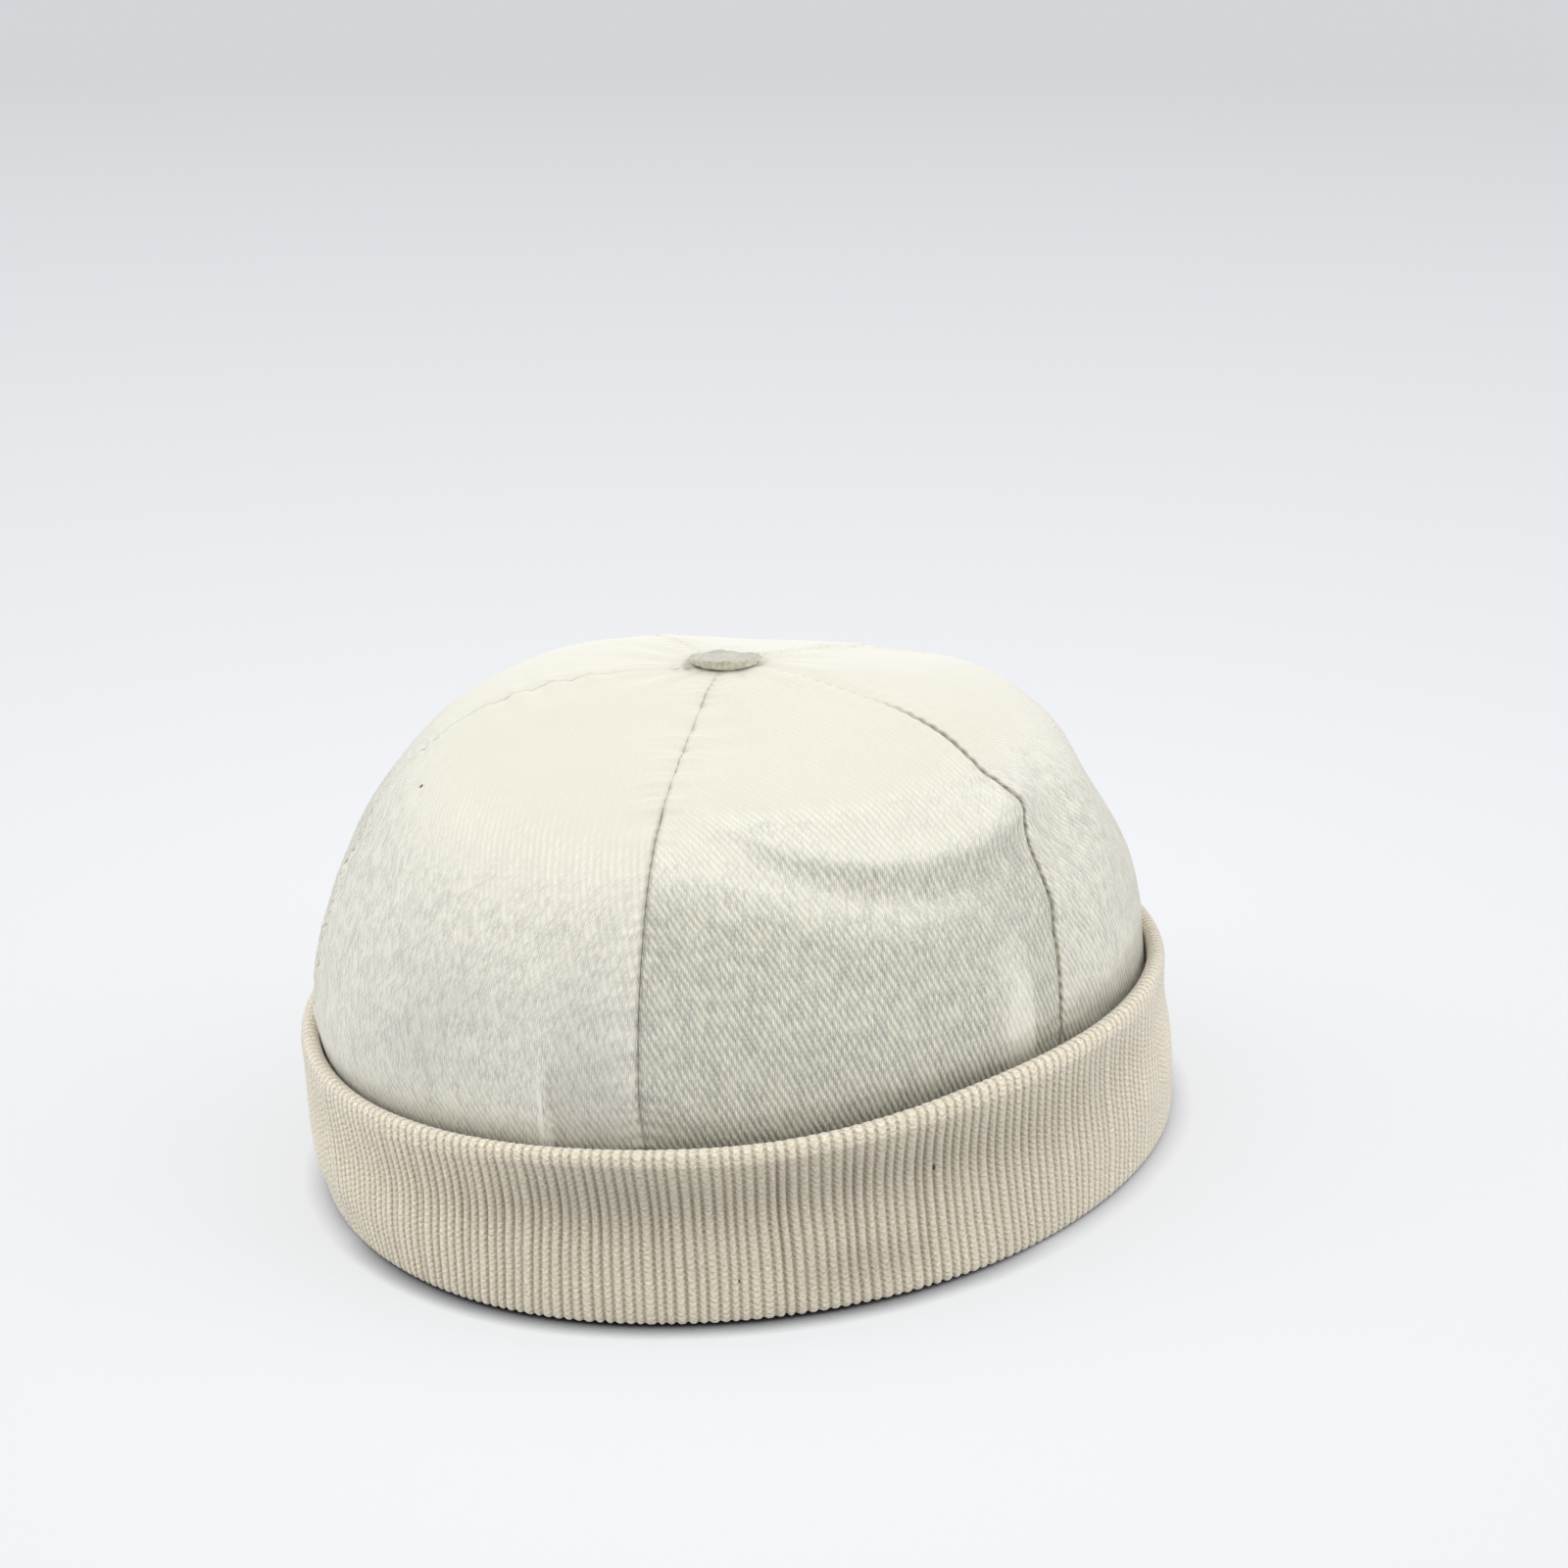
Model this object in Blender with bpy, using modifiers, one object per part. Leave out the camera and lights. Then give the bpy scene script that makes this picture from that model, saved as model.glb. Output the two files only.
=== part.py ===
"""Docker hat: a round cap without a brim, at its real size, as it rests on a table.

Five cotton twill panels meet under a covered button, and a rib-knit band is sewn to their lower
edge and turned up outside as a cuff. The front faces -Y, +Z is up, and the origin is on the
table under the middle of the hat. All lengths are in metres.
"""
import math

import bmesh
import bpy
from mathutils import Matrix, Vector

# Driving sizes of the oval that the cuff stands on
HAT_LENGTH = 0.2110
HAT_WIDTH = 0.1698

# Turned-up cuff: the outer limb, the inner limb that the crown is sewn to, and the slit between
CUFF_HEIGHT = 0.0405
CUFF_WALL = 0.0034
CUFF_FLARE = 0.0008
CUFF_SLIT = 0.0008
BAND_HEIGHT = 0.0270
BAND_WALL = 0.0024
RIB_COUNT = 280
RIB_DEPTH = 0.0005
SMOOTH_POINTS_PER_RIB = 0.5
# Rounding of the folds' corners and the bevel beside it, as shares of the wall
CUFF_CORNER = 0.55
CUFF_BEVEL = 0.10

# The soft cuff leans over its foot, mostly to the front, and its rim dips there
RIM_LEAN_LEFT = 0.0007
RIM_LEAN_FRONT = 0.0028
RIM_DIP = 0.0026
RIM_DIP_TURN = -40.0

# Crown of cloth panels
CROWN_TOP = 0.1088
SHOULDER_HEIGHT = 0.0412
CLOTH = 0.0015
CROWN_LEAN_LEFT = 0.0020
CROWN_LEAN_FRONT = 0.0024
APEX_LEAN_LEFT = 0.0019
APEX_LEAN_FRONT = 0.0025
REACH_POWER = 3.4
RISE_POWER = 1.75
PANEL_COLUMNS = 11
PANEL_ROWS = 19
WALL_SHARE = 0.16

# Covered button over the point where the panels meet
BUTTON_DIAMETER = 0.0155
BUTTON_HEIGHT = 0.0021
BUTTON_SHANK_DIAMETER = 0.0040
BUTTON_TILT = 3.0
BUTTON_TILT_TURN = 224.0
BUTTON_STEPS = 24
BUTTON_PULL = 0.0012

# Clearances between separate pieces
FIT_GAP = 0.0003
SEAM_GAP = 0.0004

# Section of the button's cap, as shares of its radius and its height, from the top outwards
BUTTON_CAP = (
    # reach  rise
    (0.00,   1.00),
    (0.45,   0.96),
    (0.80,   0.78),
    (0.97,   0.48),
    (0.97,   0.22),
    (0.84,   0.00),
)

# Seams: turn from the front at the apex and at the cuff, in degrees
SEAMS = (
    # name            at_top   at_cuff
    ("front_left",    -32.0,   -31.0),
    ("front_right",    38.5,    38.0),
    ("side_right",    109.0,    97.5),
    ("back",          182.0,   174.0),
    ("side_left",     255.0,   250.0),
)
PANEL_NAMES = ("front", "side_right", "back_right", "back_left", "side_left")

# Slow swells of the slack top between the apex and the shoulders: how many crests go round, the
# turn of one crest in degrees, and the height as a share of the dome's rise
TOP_SWELLS = (
    # name            crests  turn    height
    ("sunk_shoulder", 0,        0.0,  -0.042),
    ("high_side",     1,      -61.0,   0.030),
    ("saddle",        2,      -56.0,   0.041),
)

# Folds that the resting cloth keeps.  Turn and half_turn are in degrees.  Level is the share of
# the way from the lower edge to the apex; slant and curl bend the fold's line up or down in level
# at its end and at both ends.  Depth is a share of the dome's rise, inwards where negative.
FOLDS = (
    # name               turn   level  half_turn  half_level  slant   curl   depth
    ("dent_crease",      77.0,  0.395, 26.0,      0.060,     -0.040,  0.050, -0.040),
    ("dent_belly",       72.0,  0.300, 22.0,      0.090,     -0.020,  0.030,  0.018),
    ("dent_roof",        75.0,  0.520, 26.0,      0.070,     -0.030,  0.040,  0.020),
)

# Finish of each cloth: colour and roughness
COTTON_TWILL = ((0.80, 0.78, 0.70, 1.0), 0.90)
RIB_KNIT = ((0.66, 0.58, 0.48, 1.0), 0.95)

# Points closer than this are one point, as at the button's middle
MERGE_DISTANCE = 0.00002


def plan_point(turn, inset, height, lean):
    """Point of the hat's oval: turn in radians from the front towards +X, moved in by inset."""
    half_width = HAT_WIDTH / 2 - inset
    half_length = HAT_LENGTH / 2 - inset
    return Vector((half_width * math.sin(turn) + lean.x,
                   -half_length * math.cos(turn) + lean.y,
                   height))


def rim_dip(turn):
    """How much lower than its full height the rim runs at this turn."""
    return RIM_DIP * math.cos(turn - math.radians(RIM_DIP_TURN))


def cuff_lean(share):
    """Sideways shift of the cuff at a share of its height, with its whole box kept centred."""
    return Vector((-RIM_LEAN_LEFT, -RIM_LEAN_FRONT)) * (share - 0.5)


def cuff_ring(inset, height, rim_share, ribbed):
    """One ring of the cuff: its height is a fixed part plus a share of the rim's own height."""
    smooth_points = int(RIB_COUNT * SMOOTH_POINTS_PER_RIB)
    count = 2 * RIB_COUNT if ribbed else smooth_points
    points = []
    for step in range(count):
        turn = math.tau * step / count
        groove = RIB_DEPTH if ribbed and step % 2 else 0.0
        level = height + rim_share * (CUFF_HEIGHT - rim_dip(turn))
        share = level / CUFF_HEIGHT
        points.append(plan_point(turn, inset + groove - CUFF_FLARE * share, level, cuff_lean(share)))
    return points


def cuff_section():
    """Rings round the cuff's wall, from the foot up the outside and down again inside."""
    middle = CUFF_WALL / 2
    slit = CUFF_WALL + CUFF_SLIT
    inside = slit + BAND_WALL
    corner = CUFF_CORNER * CUFF_WALL
    bevel = CUFF_BEVEL * CUFF_WALL
    return (
        # inset              height       rim_share  ribbed
        (middle,             0.0,         0.0,       False),
        (bevel,              corner,      0.0,       True),
        (0.0,                0.0,         0.5,       True),
        (bevel,              -corner,     1.0,       True),
        (middle,             0.0,         1.0,       False),
        (CUFF_WALL - bevel,  -corner,     1.0,       False),
        (CUFF_WALL,          CUFF_WALL,   0.0,       False),
        (slit,               CUFF_WALL,   0.0,       False),
        (slit,               BAND_HEIGHT, 0.0,       False),
        (inside,             BAND_HEIGHT, 0.0,       False),
        (inside,             corner,      0.0,       False),
        (slit,               0.0,         0.0,       False),
    )


def new_object(name, mesh, finish, collection):
    """Give a mesh its own object and its own material, in the hat's collection."""
    colour, roughness = finish
    material = bpy.data.materials.new(name + "_finish")
    material.use_nodes = True
    shader = material.node_tree.nodes["Principled BSDF"]
    shader.inputs["Base Color"].default_value = colour
    shader.inputs["Roughness"].default_value = roughness
    shader.inputs["Metallic"].default_value = 0.0
    mesh.materials.append(material)
    piece = bpy.data.objects.new(name, mesh)
    collection.objects.link(piece)
    return piece


def join_rings(shape, here, after):
    """Faces from one closed ring to the next; either ring may have more points than the other."""
    i = 0
    j = 0
    while i < len(here) or j < len(after):
        start = here[i % len(here)]
        end = after[j % len(after)]
        if (i + 0.5) / len(here) <= (j + 0.5) / len(after):
            i += 1
            shape.faces.new((start, here[i % len(here)], end))
        else:
            j += 1
            shape.faces.new((start, after[j % len(after)], end))


def make_cuff(collection):
    """Rib-knit band folded up on itself, lofted ring by ring round its section."""
    shape = bmesh.new()
    rings = [[shape.verts.new(point) for point in cuff_ring(*row)] for row in cuff_section()]
    for here, after in zip(rings, rings[1:] + rings[:1]):
        join_rings(shape, here, after)
    mesh = bpy.data.meshes.new("cuff")
    shape.to_mesh(mesh)
    shape.free()
    return new_object("cuff", mesh, RIB_KNIT, collection)


def fold_height(turn, level):
    """Distance that the folds move the cloth out (or in, where negative) at this place."""
    moved = 0.0
    for _, fold_turn, fold_level, half_turn, half_level, slant, curl, depth in FOLDS:
        across = math.degrees(turn) - fold_turn
        across = ((across + 180.0) % 360.0 - 180.0) / half_turn
        along = (level - fold_level - slant * across - curl * across ** 2) / half_level
        moved += depth * math.exp(-across ** 2 - along ** 2)
    return moved * (CROWN_TOP - SHOULDER_HEIGHT)


def swell_height(turn, reach, domed):
    """How far the slack top stands above a plain dome, and sinks under the button's pull."""
    pull = BUTTON_PULL * math.exp(-(reach * HAT_WIDTH / 2 / BUTTON_DIAMETER) ** 2)
    moved = sum(height * math.cos(crests * (turn - math.radians(crest_turn)))
                for _, crests, crest_turn, height in TOP_SWELLS)
    return moved * (CROWN_TOP - SHOULDER_HEIGHT) * domed * math.sin(math.pi * reach) ** 2 - pull


def crown_rise(level):
    """Height of the crown's plain dome at a level, and its reach as a share of the full oval."""
    lower_edge = BAND_HEIGHT + FIT_GAP
    if level < WALL_SHARE:
        return lower_edge + (SHOULDER_HEIGHT - lower_edge) * level / WALL_SHARE, 1.0
    up = (level - WALL_SHARE) / (1.0 - WALL_SHARE)
    bend = math.pi / 2 * (1.0 - (1.0 - up) ** (REACH_POWER / 2))
    rise = math.sin(bend) ** (2 / RISE_POWER)
    return SHOULDER_HEIGHT + (CROWN_TOP - SHOULDER_HEIGHT) * rise, math.cos(bend) ** (2 / REACH_POWER)


def crown_point(turn, level):
    """Outside of the crown: level 0 is its lower edge behind the cuff, level 1 is the apex."""
    inset = CUFF_WALL + CUFF_SLIT + (BAND_WALL - CLOTH) / 2
    height, reach = crown_rise(level)
    foot = cuff_lean(BAND_HEIGHT / CUFF_HEIGHT)
    domed = max(0.0, (height - SHOULDER_HEIGHT) / (CROWN_TOP - SHOULDER_HEIGHT))
    climb = min(1.0, level / (2 * WALL_SHARE))
    crown_lean = Vector((-CROWN_LEAN_LEFT, -CROWN_LEAN_FRONT)) * math.sin(math.pi / 2 * climb)
    lean = foot + crown_lean + Vector((-APEX_LEAN_LEFT, -APEX_LEAN_FRONT)) * domed ** 2
    outer = plan_point(turn, inset, height, Vector((0.0, 0.0)))
    height += swell_height(turn, reach, domed)
    point = Vector((outer.x * reach + lean.x, outer.y * reach + lean.y, height))
    middle = Vector((lean.x, lean.y, SHOULDER_HEIGHT))
    return point + (point - middle).normalized() * fold_height(turn, level)


def seam_turn(index, level):
    """Turn of a seam at a level: it keeps its place at the cuff and fans evenly at the apex."""
    _, at_top, at_cuff = SEAMS[index % len(SEAMS)]
    wrap = 360.0 * (index // len(SEAMS))
    return math.radians(at_cuff + (at_top - at_cuff) * level + wrap)


def make_panel(index, collection):
    """One cloth panel between two seams: a flat grid laid on the crown, then given its wall."""
    hole = BUTTON_SHANK_DIAMETER / 2 + FIT_GAP + CLOTH / 2
    top_up = 1.0 - hole / (HAT_WIDTH / 2)
    top_level = WALL_SHARE + (1.0 - WALL_SHARE) * top_up
    shape = bmesh.new()
    bmesh.ops.create_grid(shape, x_segments=PANEL_COLUMNS, y_segments=PANEL_ROWS, size=0.5)
    for vertex in shape.verts:
        across = vertex.co.x + 0.5
        level = (vertex.co.y + 0.5) * top_level
        first = seam_turn(index, level)
        second = seam_turn(index + 1, level)
        centre = crown_point(first, 1.0)
        radius = (crown_point((first + second) / 2, level) - centre).to_2d().length
        half_gap = SEAM_GAP / 2 / radius
        first += half_gap
        second -= half_gap
        vertex.co = crown_point(first + (second - first) * across, level)
    mesh = bpy.data.meshes.new("crown_panel_" + PANEL_NAMES[index])
    shape.to_mesh(mesh)
    shape.free()
    piece = new_object(mesh.name, mesh, COTTON_TWILL, collection)
    wall = piece.modifiers.new("wall", "SOLIDIFY")
    wall.thickness = CLOTH
    wall.offset = -1.0
    return piece


def make_button(collection):
    """Flattened button covered in cloth, with the shank that holds the panels' tips."""
    radius = BUTTON_DIAMETER / 2
    shank = BUTTON_SHANK_DIAMETER / 2
    tilt = math.radians(BUTTON_TILT)
    lift = BUTTON_CAP[-1][0] * radius * math.sin(tilt) + FIT_GAP
    shank_length = lift + CLOTH + FIT_GAP
    profile = [(reach * radius, rise * BUTTON_HEIGHT) for reach, rise in BUTTON_CAP]
    profile += [(shank, 0.0), (shank, -shank_length), (0.0, -shank_length)]
    mesh = bpy.data.meshes.new("top_button")
    points = [(x, 0.0, z) for x, z in profile]
    mesh.from_pydata(points, [(i, i + 1) for i in range(len(points) - 1)], [])
    piece = new_object("top_button", mesh, COTTON_TWILL, collection)
    turned = piece.modifiers.new("turned", "SCREW")
    turned.steps = BUTTON_STEPS
    turned.render_steps = BUTTON_STEPS
    turned.use_merge_vertices = True
    turned.merge_threshold = MERGE_DISTANCE
    downhill = math.radians(BUTTON_TILT_TURN)
    axis = Vector((math.cos(downhill), math.sin(downhill), 0.0))
    seat = crown_point(0.0, 1.0) + Vector((0.0, 0.0, lift))
    piece.matrix_world = Matrix.Translation(seat) @ Matrix.Rotation(tilt, 4, axis)
    return piece


def main():
    for old in list(bpy.data.objects):
        bpy.data.objects.remove(old)
    collection = bpy.data.collections.new("docker_hat")
    bpy.context.scene.collection.children.link(collection)
    make_cuff(collection)
    for index in range(len(SEAMS)):
        make_panel(index, collection)
    make_button(collection)


main()
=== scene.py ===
"""Looks of a docker hat: five ecru cotton twill panels, a covered button and a rib-knit cuff.

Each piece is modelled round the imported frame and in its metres: the front faces -Y, +Z is up and
the table is at z = 0. A place on the hat is given by its turn from the front towards +X, and on
the crown by its level, from 0 at the lower edge behind the cuff to 1 at the apex.
"""
import math

import bpy
import numpy as np
from bpy.props import FloatProperty, IntProperty, PointerProperty, StringProperty
from mathutils import Matrix, Vector


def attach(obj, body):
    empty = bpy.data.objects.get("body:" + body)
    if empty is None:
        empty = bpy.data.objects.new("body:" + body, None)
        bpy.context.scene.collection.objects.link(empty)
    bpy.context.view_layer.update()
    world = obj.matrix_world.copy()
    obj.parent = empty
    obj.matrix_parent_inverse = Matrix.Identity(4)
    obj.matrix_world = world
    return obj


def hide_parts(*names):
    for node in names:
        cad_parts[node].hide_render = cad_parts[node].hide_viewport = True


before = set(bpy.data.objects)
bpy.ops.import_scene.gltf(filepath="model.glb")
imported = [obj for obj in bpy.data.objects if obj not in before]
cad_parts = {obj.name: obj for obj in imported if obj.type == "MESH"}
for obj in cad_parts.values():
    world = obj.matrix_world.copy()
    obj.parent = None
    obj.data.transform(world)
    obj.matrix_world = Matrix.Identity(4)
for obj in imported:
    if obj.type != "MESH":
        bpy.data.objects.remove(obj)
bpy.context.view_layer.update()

bl_info = {
    "name": "Docker hat",
    "version": (1, 0, 0),
    "blender": (4, 5, 0),
    "location": "3D View > Sidebar > Docker hat",
    "description": "Models a docker hat with a sewn twill crown and a turned-up rib-knit cuff",
    "category": "Add Mesh",
}

MM = 0.001

# Oval that the cuff stands on, and the section of its wall
HAT_LENGTH = 211.0 * MM
HAT_WIDTH = 169.8 * MM
CUFF_HEIGHT = 40.5 * MM
CUFF_WALL = 3.4 * MM
CUFF_FLARE = 0.8 * MM
CUFF_SLIT = 0.8 * MM
BAND_HEIGHT = 27.0 * MM
BAND_WALL = 2.4 * MM
RIM_LEAN = (-0.7 * MM, -2.8 * MM)
RIM_DIP = 2.6 * MM
RIM_DIP_TURN = -40.0

# Dome that the panels are laid on
CROWN_TOP = 108.8 * MM
SHOULDER_HEIGHT = 41.2 * MM
CLOTH = 1.5 * MM
CROWN_LEAN = (-2.0 * MM, -2.4 * MM)
APEX_LEAN = (-1.9 * MM, -2.5 * MM)
REACH_POWER = 3.4
RISE_POWER = 1.75
WALL_SHARE = 0.16
FIT_GAP = 0.3 * MM

# Covered button
BUTTON_DIAMETER = 15.5 * MM
BUTTON_HEIGHT = 1.5 * MM
BUTTON_TILT = 8.5
BUTTON_TILT_TURN = 222.0
BUTTON_PULL = 1.2 * MM
BUTTON_CURL = 0.55 * MM
BUTTON_ROUGHNESS = 0.12 * MM
# share of nap and painted light on the button's twill
BUTTON_NAP_AND_PAINTED_LIGHT = 0.55

# Seams between the panels: turn in degrees at the apex and at the lower edge
SEAMS = (
    # name            at_top   at_cuff
    ("front_left",    -32.0,   -31.0),
    ("front_right",    38.5,    38.0),
    ("side_right",    109.0,    97.5),
    ("back",          182.0,   174.0),
    ("side_left",     255.0,   250.0),
)
PANEL_NAMES = ("front", "side_right", "back_right", "back_left", "side_left")

# Slow swells of the slack top: crests round the hat, turn of one crest, height as a share of rise
TOP_SWELLS = (
    # name            crests  turn    height
    ("sunk_shoulder", 0,        0.0,  -0.042),
    ("high_side",     1,      -61.0,   0.030),
    ("saddle",        2,      -56.0,   0.041),
)

# Soft folds of the resting cloth: turn and half_turn in degrees, levels as shares, slant and curl
# bend the fold's line in level, and depth is a share of the dome's rise, inwards where negative
FOLDS = (
    # name               turn   level  half_turn  half_level  slant   curl   depth
    ("dent_crease",      77.0,  0.395, 26.0,      0.060,     -0.040,  0.050, -0.040),
    ("dent_belly",       72.0,  0.300, 22.0,      0.090,     -0.020,  0.030,  0.018),
    ("dent_roof",        75.0,  0.520, 26.0,      0.070,     -0.030,  0.040,  0.020),
)


def plan_points(turn, inset, height, lean):
    """Points of the hat's oval, moved in by inset and sideways by lean."""
    x = (HAT_WIDTH / 2 - inset) * np.sin(turn) + lean[0]
    y = -(HAT_LENGTH / 2 - inset) * np.cos(turn) + lean[1]
    return np.stack(np.broadcast_arrays(x, y, height), axis=-1)


def smooth(value, low, high):
    """Soft step from 0 at low to 1 at high."""
    share = np.clip((value - low) / (high - low), 0.0, 1.0)
    return share * share * (3.0 - 2.0 * share)


def soft_waves(points, wavelength, seed, count=14):
    """Smooth irregular height between about -1 and 1, which varies over about one wavelength."""
    random = np.random.default_rng(seed)
    total = np.zeros(points.shape[:-1])
    for _ in range(count):
        direction = random.normal(size=3)
        direction /= np.linalg.norm(direction)
        length = wavelength * random.uniform(0.75, 1.5)
        phase = random.uniform(0.0, math.tau)
        total += np.sin(points @ direction * (math.tau / length) + phase)
    return total / math.sqrt(count)


def turned(turn, other):
    """Difference of two turns in degrees, from -180 to 180."""
    return (np.degrees(turn) - other + 180.0) % 360.0 - 180.0


def line_out(turn, height):
    """Direction from the hat at a turn from the front and an angle up, both in radians."""
    return Vector((math.sin(turn) * math.cos(height), -math.cos(turn) * math.cos(height), math.sin(height)))


def bulge(turn, centre, half_turn, power=2):
    """Share that is 1 at one turn and falls away beside it: all in degrees but turn."""
    return np.exp(-(turned(turn, centre) / half_turn) ** power)


def fold_share(turn, level, fold_turn, fold_level, half_turn, half_level, slant=0.0, curl=0.0):
    """Share that is 1 on a fold's line and falls away beside it."""
    across = turned(turn, fold_turn) / half_turn
    along = (level - fold_level - slant * across - curl * across ** 2) / half_level
    return np.exp(-across ** 2 - along ** 2)


def crown_surface(turn, level):
    """Outside of the crown as the frame has it, without the fine folds."""
    lower_edge = BAND_HEIGHT + FIT_GAP
    up = np.clip((level - WALL_SHARE) / (1.0 - WALL_SHARE), 0.0, 1.0)
    bend = np.pi / 2 * (1.0 - (1.0 - up) ** (REACH_POWER / 2))
    rise_total = CROWN_TOP - SHOULDER_HEIGHT
    wall = lower_edge + (SHOULDER_HEIGHT - lower_edge) * level / WALL_SHARE
    dome = SHOULDER_HEIGHT + rise_total * np.sin(bend) ** (2 / RISE_POWER)
    height = np.where(level < WALL_SHARE, wall, dome)
    reach = np.where(level < WALL_SHARE, 1.0, np.clip(np.cos(bend), 0.0, 1.0) ** (2 / REACH_POWER))
    domed = np.maximum(0.0, (height - SHOULDER_HEIGHT) / rise_total)
    climb = np.sin(np.pi / 2 * np.minimum(1.0, level / (2 * WALL_SHARE)))
    foot = BAND_HEIGHT / CUFF_HEIGHT - 0.5
    lean = [RIM_LEAN[i] * foot + CROWN_LEAN[i] * climb + APEX_LEAN[i] * domed ** 2 for i in (0, 1)]
    inset = CUFF_WALL + CUFF_SLIT + (BAND_WALL - CLOTH) / 2
    plan = plan_points(turn, inset, height, (0.0, 0.0))
    swell = sum(high * np.cos(crests * (turn - math.radians(crest)))
                for _, crests, crest, high in TOP_SWELLS)
    pull = BUTTON_PULL * np.exp(-(reach * HAT_WIDTH / 2 / BUTTON_DIAMETER) ** 2)
    lifted = height + swell * rise_total * domed * np.sin(np.pi * reach) ** 2 - pull
    point = np.stack([plan[..., 0] * reach + lean[0], plan[..., 1] * reach + lean[1], lifted], axis=-1)
    middle = np.stack([lean[0] + 0 * lifted, lean[1] + 0 * lifted, SHOULDER_HEIGHT + 0 * lifted], axis=-1)
    outwards = point - middle
    outwards /= np.linalg.norm(outwards, axis=-1, keepdims=True)
    folded = np.zeros(lifted.shape)
    for _, *fold, depth in FOLDS:
        folded += depth * fold_share(turn, level, *fold)
    return point + outwards * (folded * rise_total)[..., None]


def seam_turn(index, level):
    """Turn of a seam at a level, in radians."""
    _, at_top, at_cuff = SEAMS[index % len(SEAMS)]
    return np.radians(at_cuff + (at_top - at_cuff) * level + 360.0 * (index // len(SEAMS)))


def surface_normals(points):
    """Unit normals of a grid of points whose rows climb and whose columns turn to the right."""
    up = np.gradient(points, axis=0)
    right = np.gradient(points, axis=1)
    normals = np.cross(right, up)
    return normals / np.maximum(np.linalg.norm(normals, axis=-1, keepdims=True), 1e-12)


def lengths_along(line):
    """Length from the start of a line of points to each of them."""
    return np.concatenate([[0.0], np.cumsum(np.linalg.norm(np.diff(line, axis=0), axis=1))])


def select_only(*pieces):
    """Nothing but these pieces is selected, and the first is the active one."""
    bpy.ops.object.select_all(action="DESELECT")
    for piece in pieces:
        piece.select_set(True)
    bpy.context.view_layer.objects.active = pieces[0]


def finish_piece(piece, material, node=None):
    """Shade a piece smooth, give it its material and tie it to the frame."""
    select_only(piece)
    bpy.ops.object.shade_smooth()
    piece.data.materials.clear()
    piece.data.materials.append(material)
    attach(piece, "root")
    if node:
        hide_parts(node)


def new_piece(name, points, faces):
    """An object at the origin with these points and faces."""
    mesh = bpy.data.meshes.new(name)
    mesh.from_pydata(points.reshape(-1, 3).tolist(), [], faces)
    mesh.update()
    piece = bpy.data.objects.new(name, mesh)
    bpy.context.scene.collection.objects.link(piece)
    return piece


def grid_faces(rows, columns, start=0, closed=False):
    """Faces of a grid of points that faces out where rows climb and columns turn to the right."""
    span = columns if closed else columns - 1
    return [(start + r * columns + c, start + r * columns + (c + 1) % columns,
             start + (r + 1) * columns + (c + 1) % columns, start + (r + 1) * columns + c)
            for r in range(rows - 1) for c in range(span)]


def join_rings(here, after):
    """Faces between two closed rings of point numbers, either of which may have more points."""
    faces = []
    i = 0
    j = 0
    while i < len(here) or j < len(after):
        start = here[i % len(here)]
        end = after[j % len(after)]
        if (i + 0.5) / len(here) <= (j + 0.5) / len(after):
            i += 1
            faces.append((start, here[i % len(here)], end))
        else:
            j += 1
            faces.append((start, after[j % len(after)], end))
    return faces


def grid_border(rows, columns, start=0):
    """Point numbers round a grid's edge: along the first row, up, back along the last and down."""
    first = [start + c for c in range(columns)]
    right = [start + r * columns + columns - 1 for r in range(1, rows)]
    last = [start + (rows - 1) * columns + c for c in range(columns - 2, -1, -1)]
    left = [start + r * columns for r in range(rows - 2, 0, -1)]
    return first + right + last + left


def set_uv(piece, name, places, round_trip=0.0):
    """UV map that gives each point its place here. Where a face crosses the start of a closed
    pattern that is round_trip long, its points at the start count as those at the end."""
    layer = piece.data.uv_layers.new(name=name)
    corners = np.zeros(len(piece.data.loops), np.int32)
    piece.data.loops.foreach_get("vertex_index", corners)
    found = places[corners].astype(np.float32)
    if round_trip:
        starts = np.zeros(len(piece.data.polygons), np.int32)
        piece.data.polygons.foreach_get("loop_start", starts)
        furthest = np.repeat(np.maximum.reduceat(found[:, 0], starts), np.diff([*starts, len(corners)]))
        found[:, 0] += np.where(furthest - found[:, 0] > round_trip / 2, round_trip, 0.0)
    layer.data.foreach_set("uv", found.ravel())


def set_share(piece, name, outside, inside=0.0):
    """Share that the material reads at each point: first those outside, then one for all inside."""
    shares = np.full(len(piece.data.vertices), inside, np.float32)
    shares[:outside.size] = outside.ravel()
    piece.data.attributes.new(name, "FLOAT", "POINT").data.foreach_set("value", shares)


# Materials


def linear(code):
    """Linear colour of an sRGB hex code."""
    channels = [int(code[i:i + 2], 16) / 255 for i in (1, 3, 5)]
    return [c / 12.92 if c <= 0.04045 else ((c + 0.055) / 1.055) ** 2.4 for c in channels] + [1.0]


def feed(tree, node, inputs):
    """Give a node its inputs: values, nodes or sockets, in order or by name or number."""
    for key, value in inputs.items() if isinstance(inputs, dict) else enumerate(inputs):
        if isinstance(value, bpy.types.Node):
            value = value.outputs[0]
        if isinstance(value, bpy.types.NodeSocket):
            tree.links.new(value, node.inputs[key])
        else:
            node.inputs[key].default_value = value


def add(tree, kind, inputs=(), operation=None, **settings):
    """Add a node with its operation, its other settings and its inputs."""
    made = tree.nodes.new("ShaderNode" + kind)
    if operation:
        made.operation = operation
    for key, value in settings.items():
        setattr(made, key, value)
    feed(tree, made, inputs)
    return made


def new_material(name):
    """Empty node material and its shader."""
    material = bpy.data.materials.new(name)
    material.use_nodes = True
    tree = material.node_tree
    return material, tree, tree.nodes["Principled BSDF"]


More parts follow.
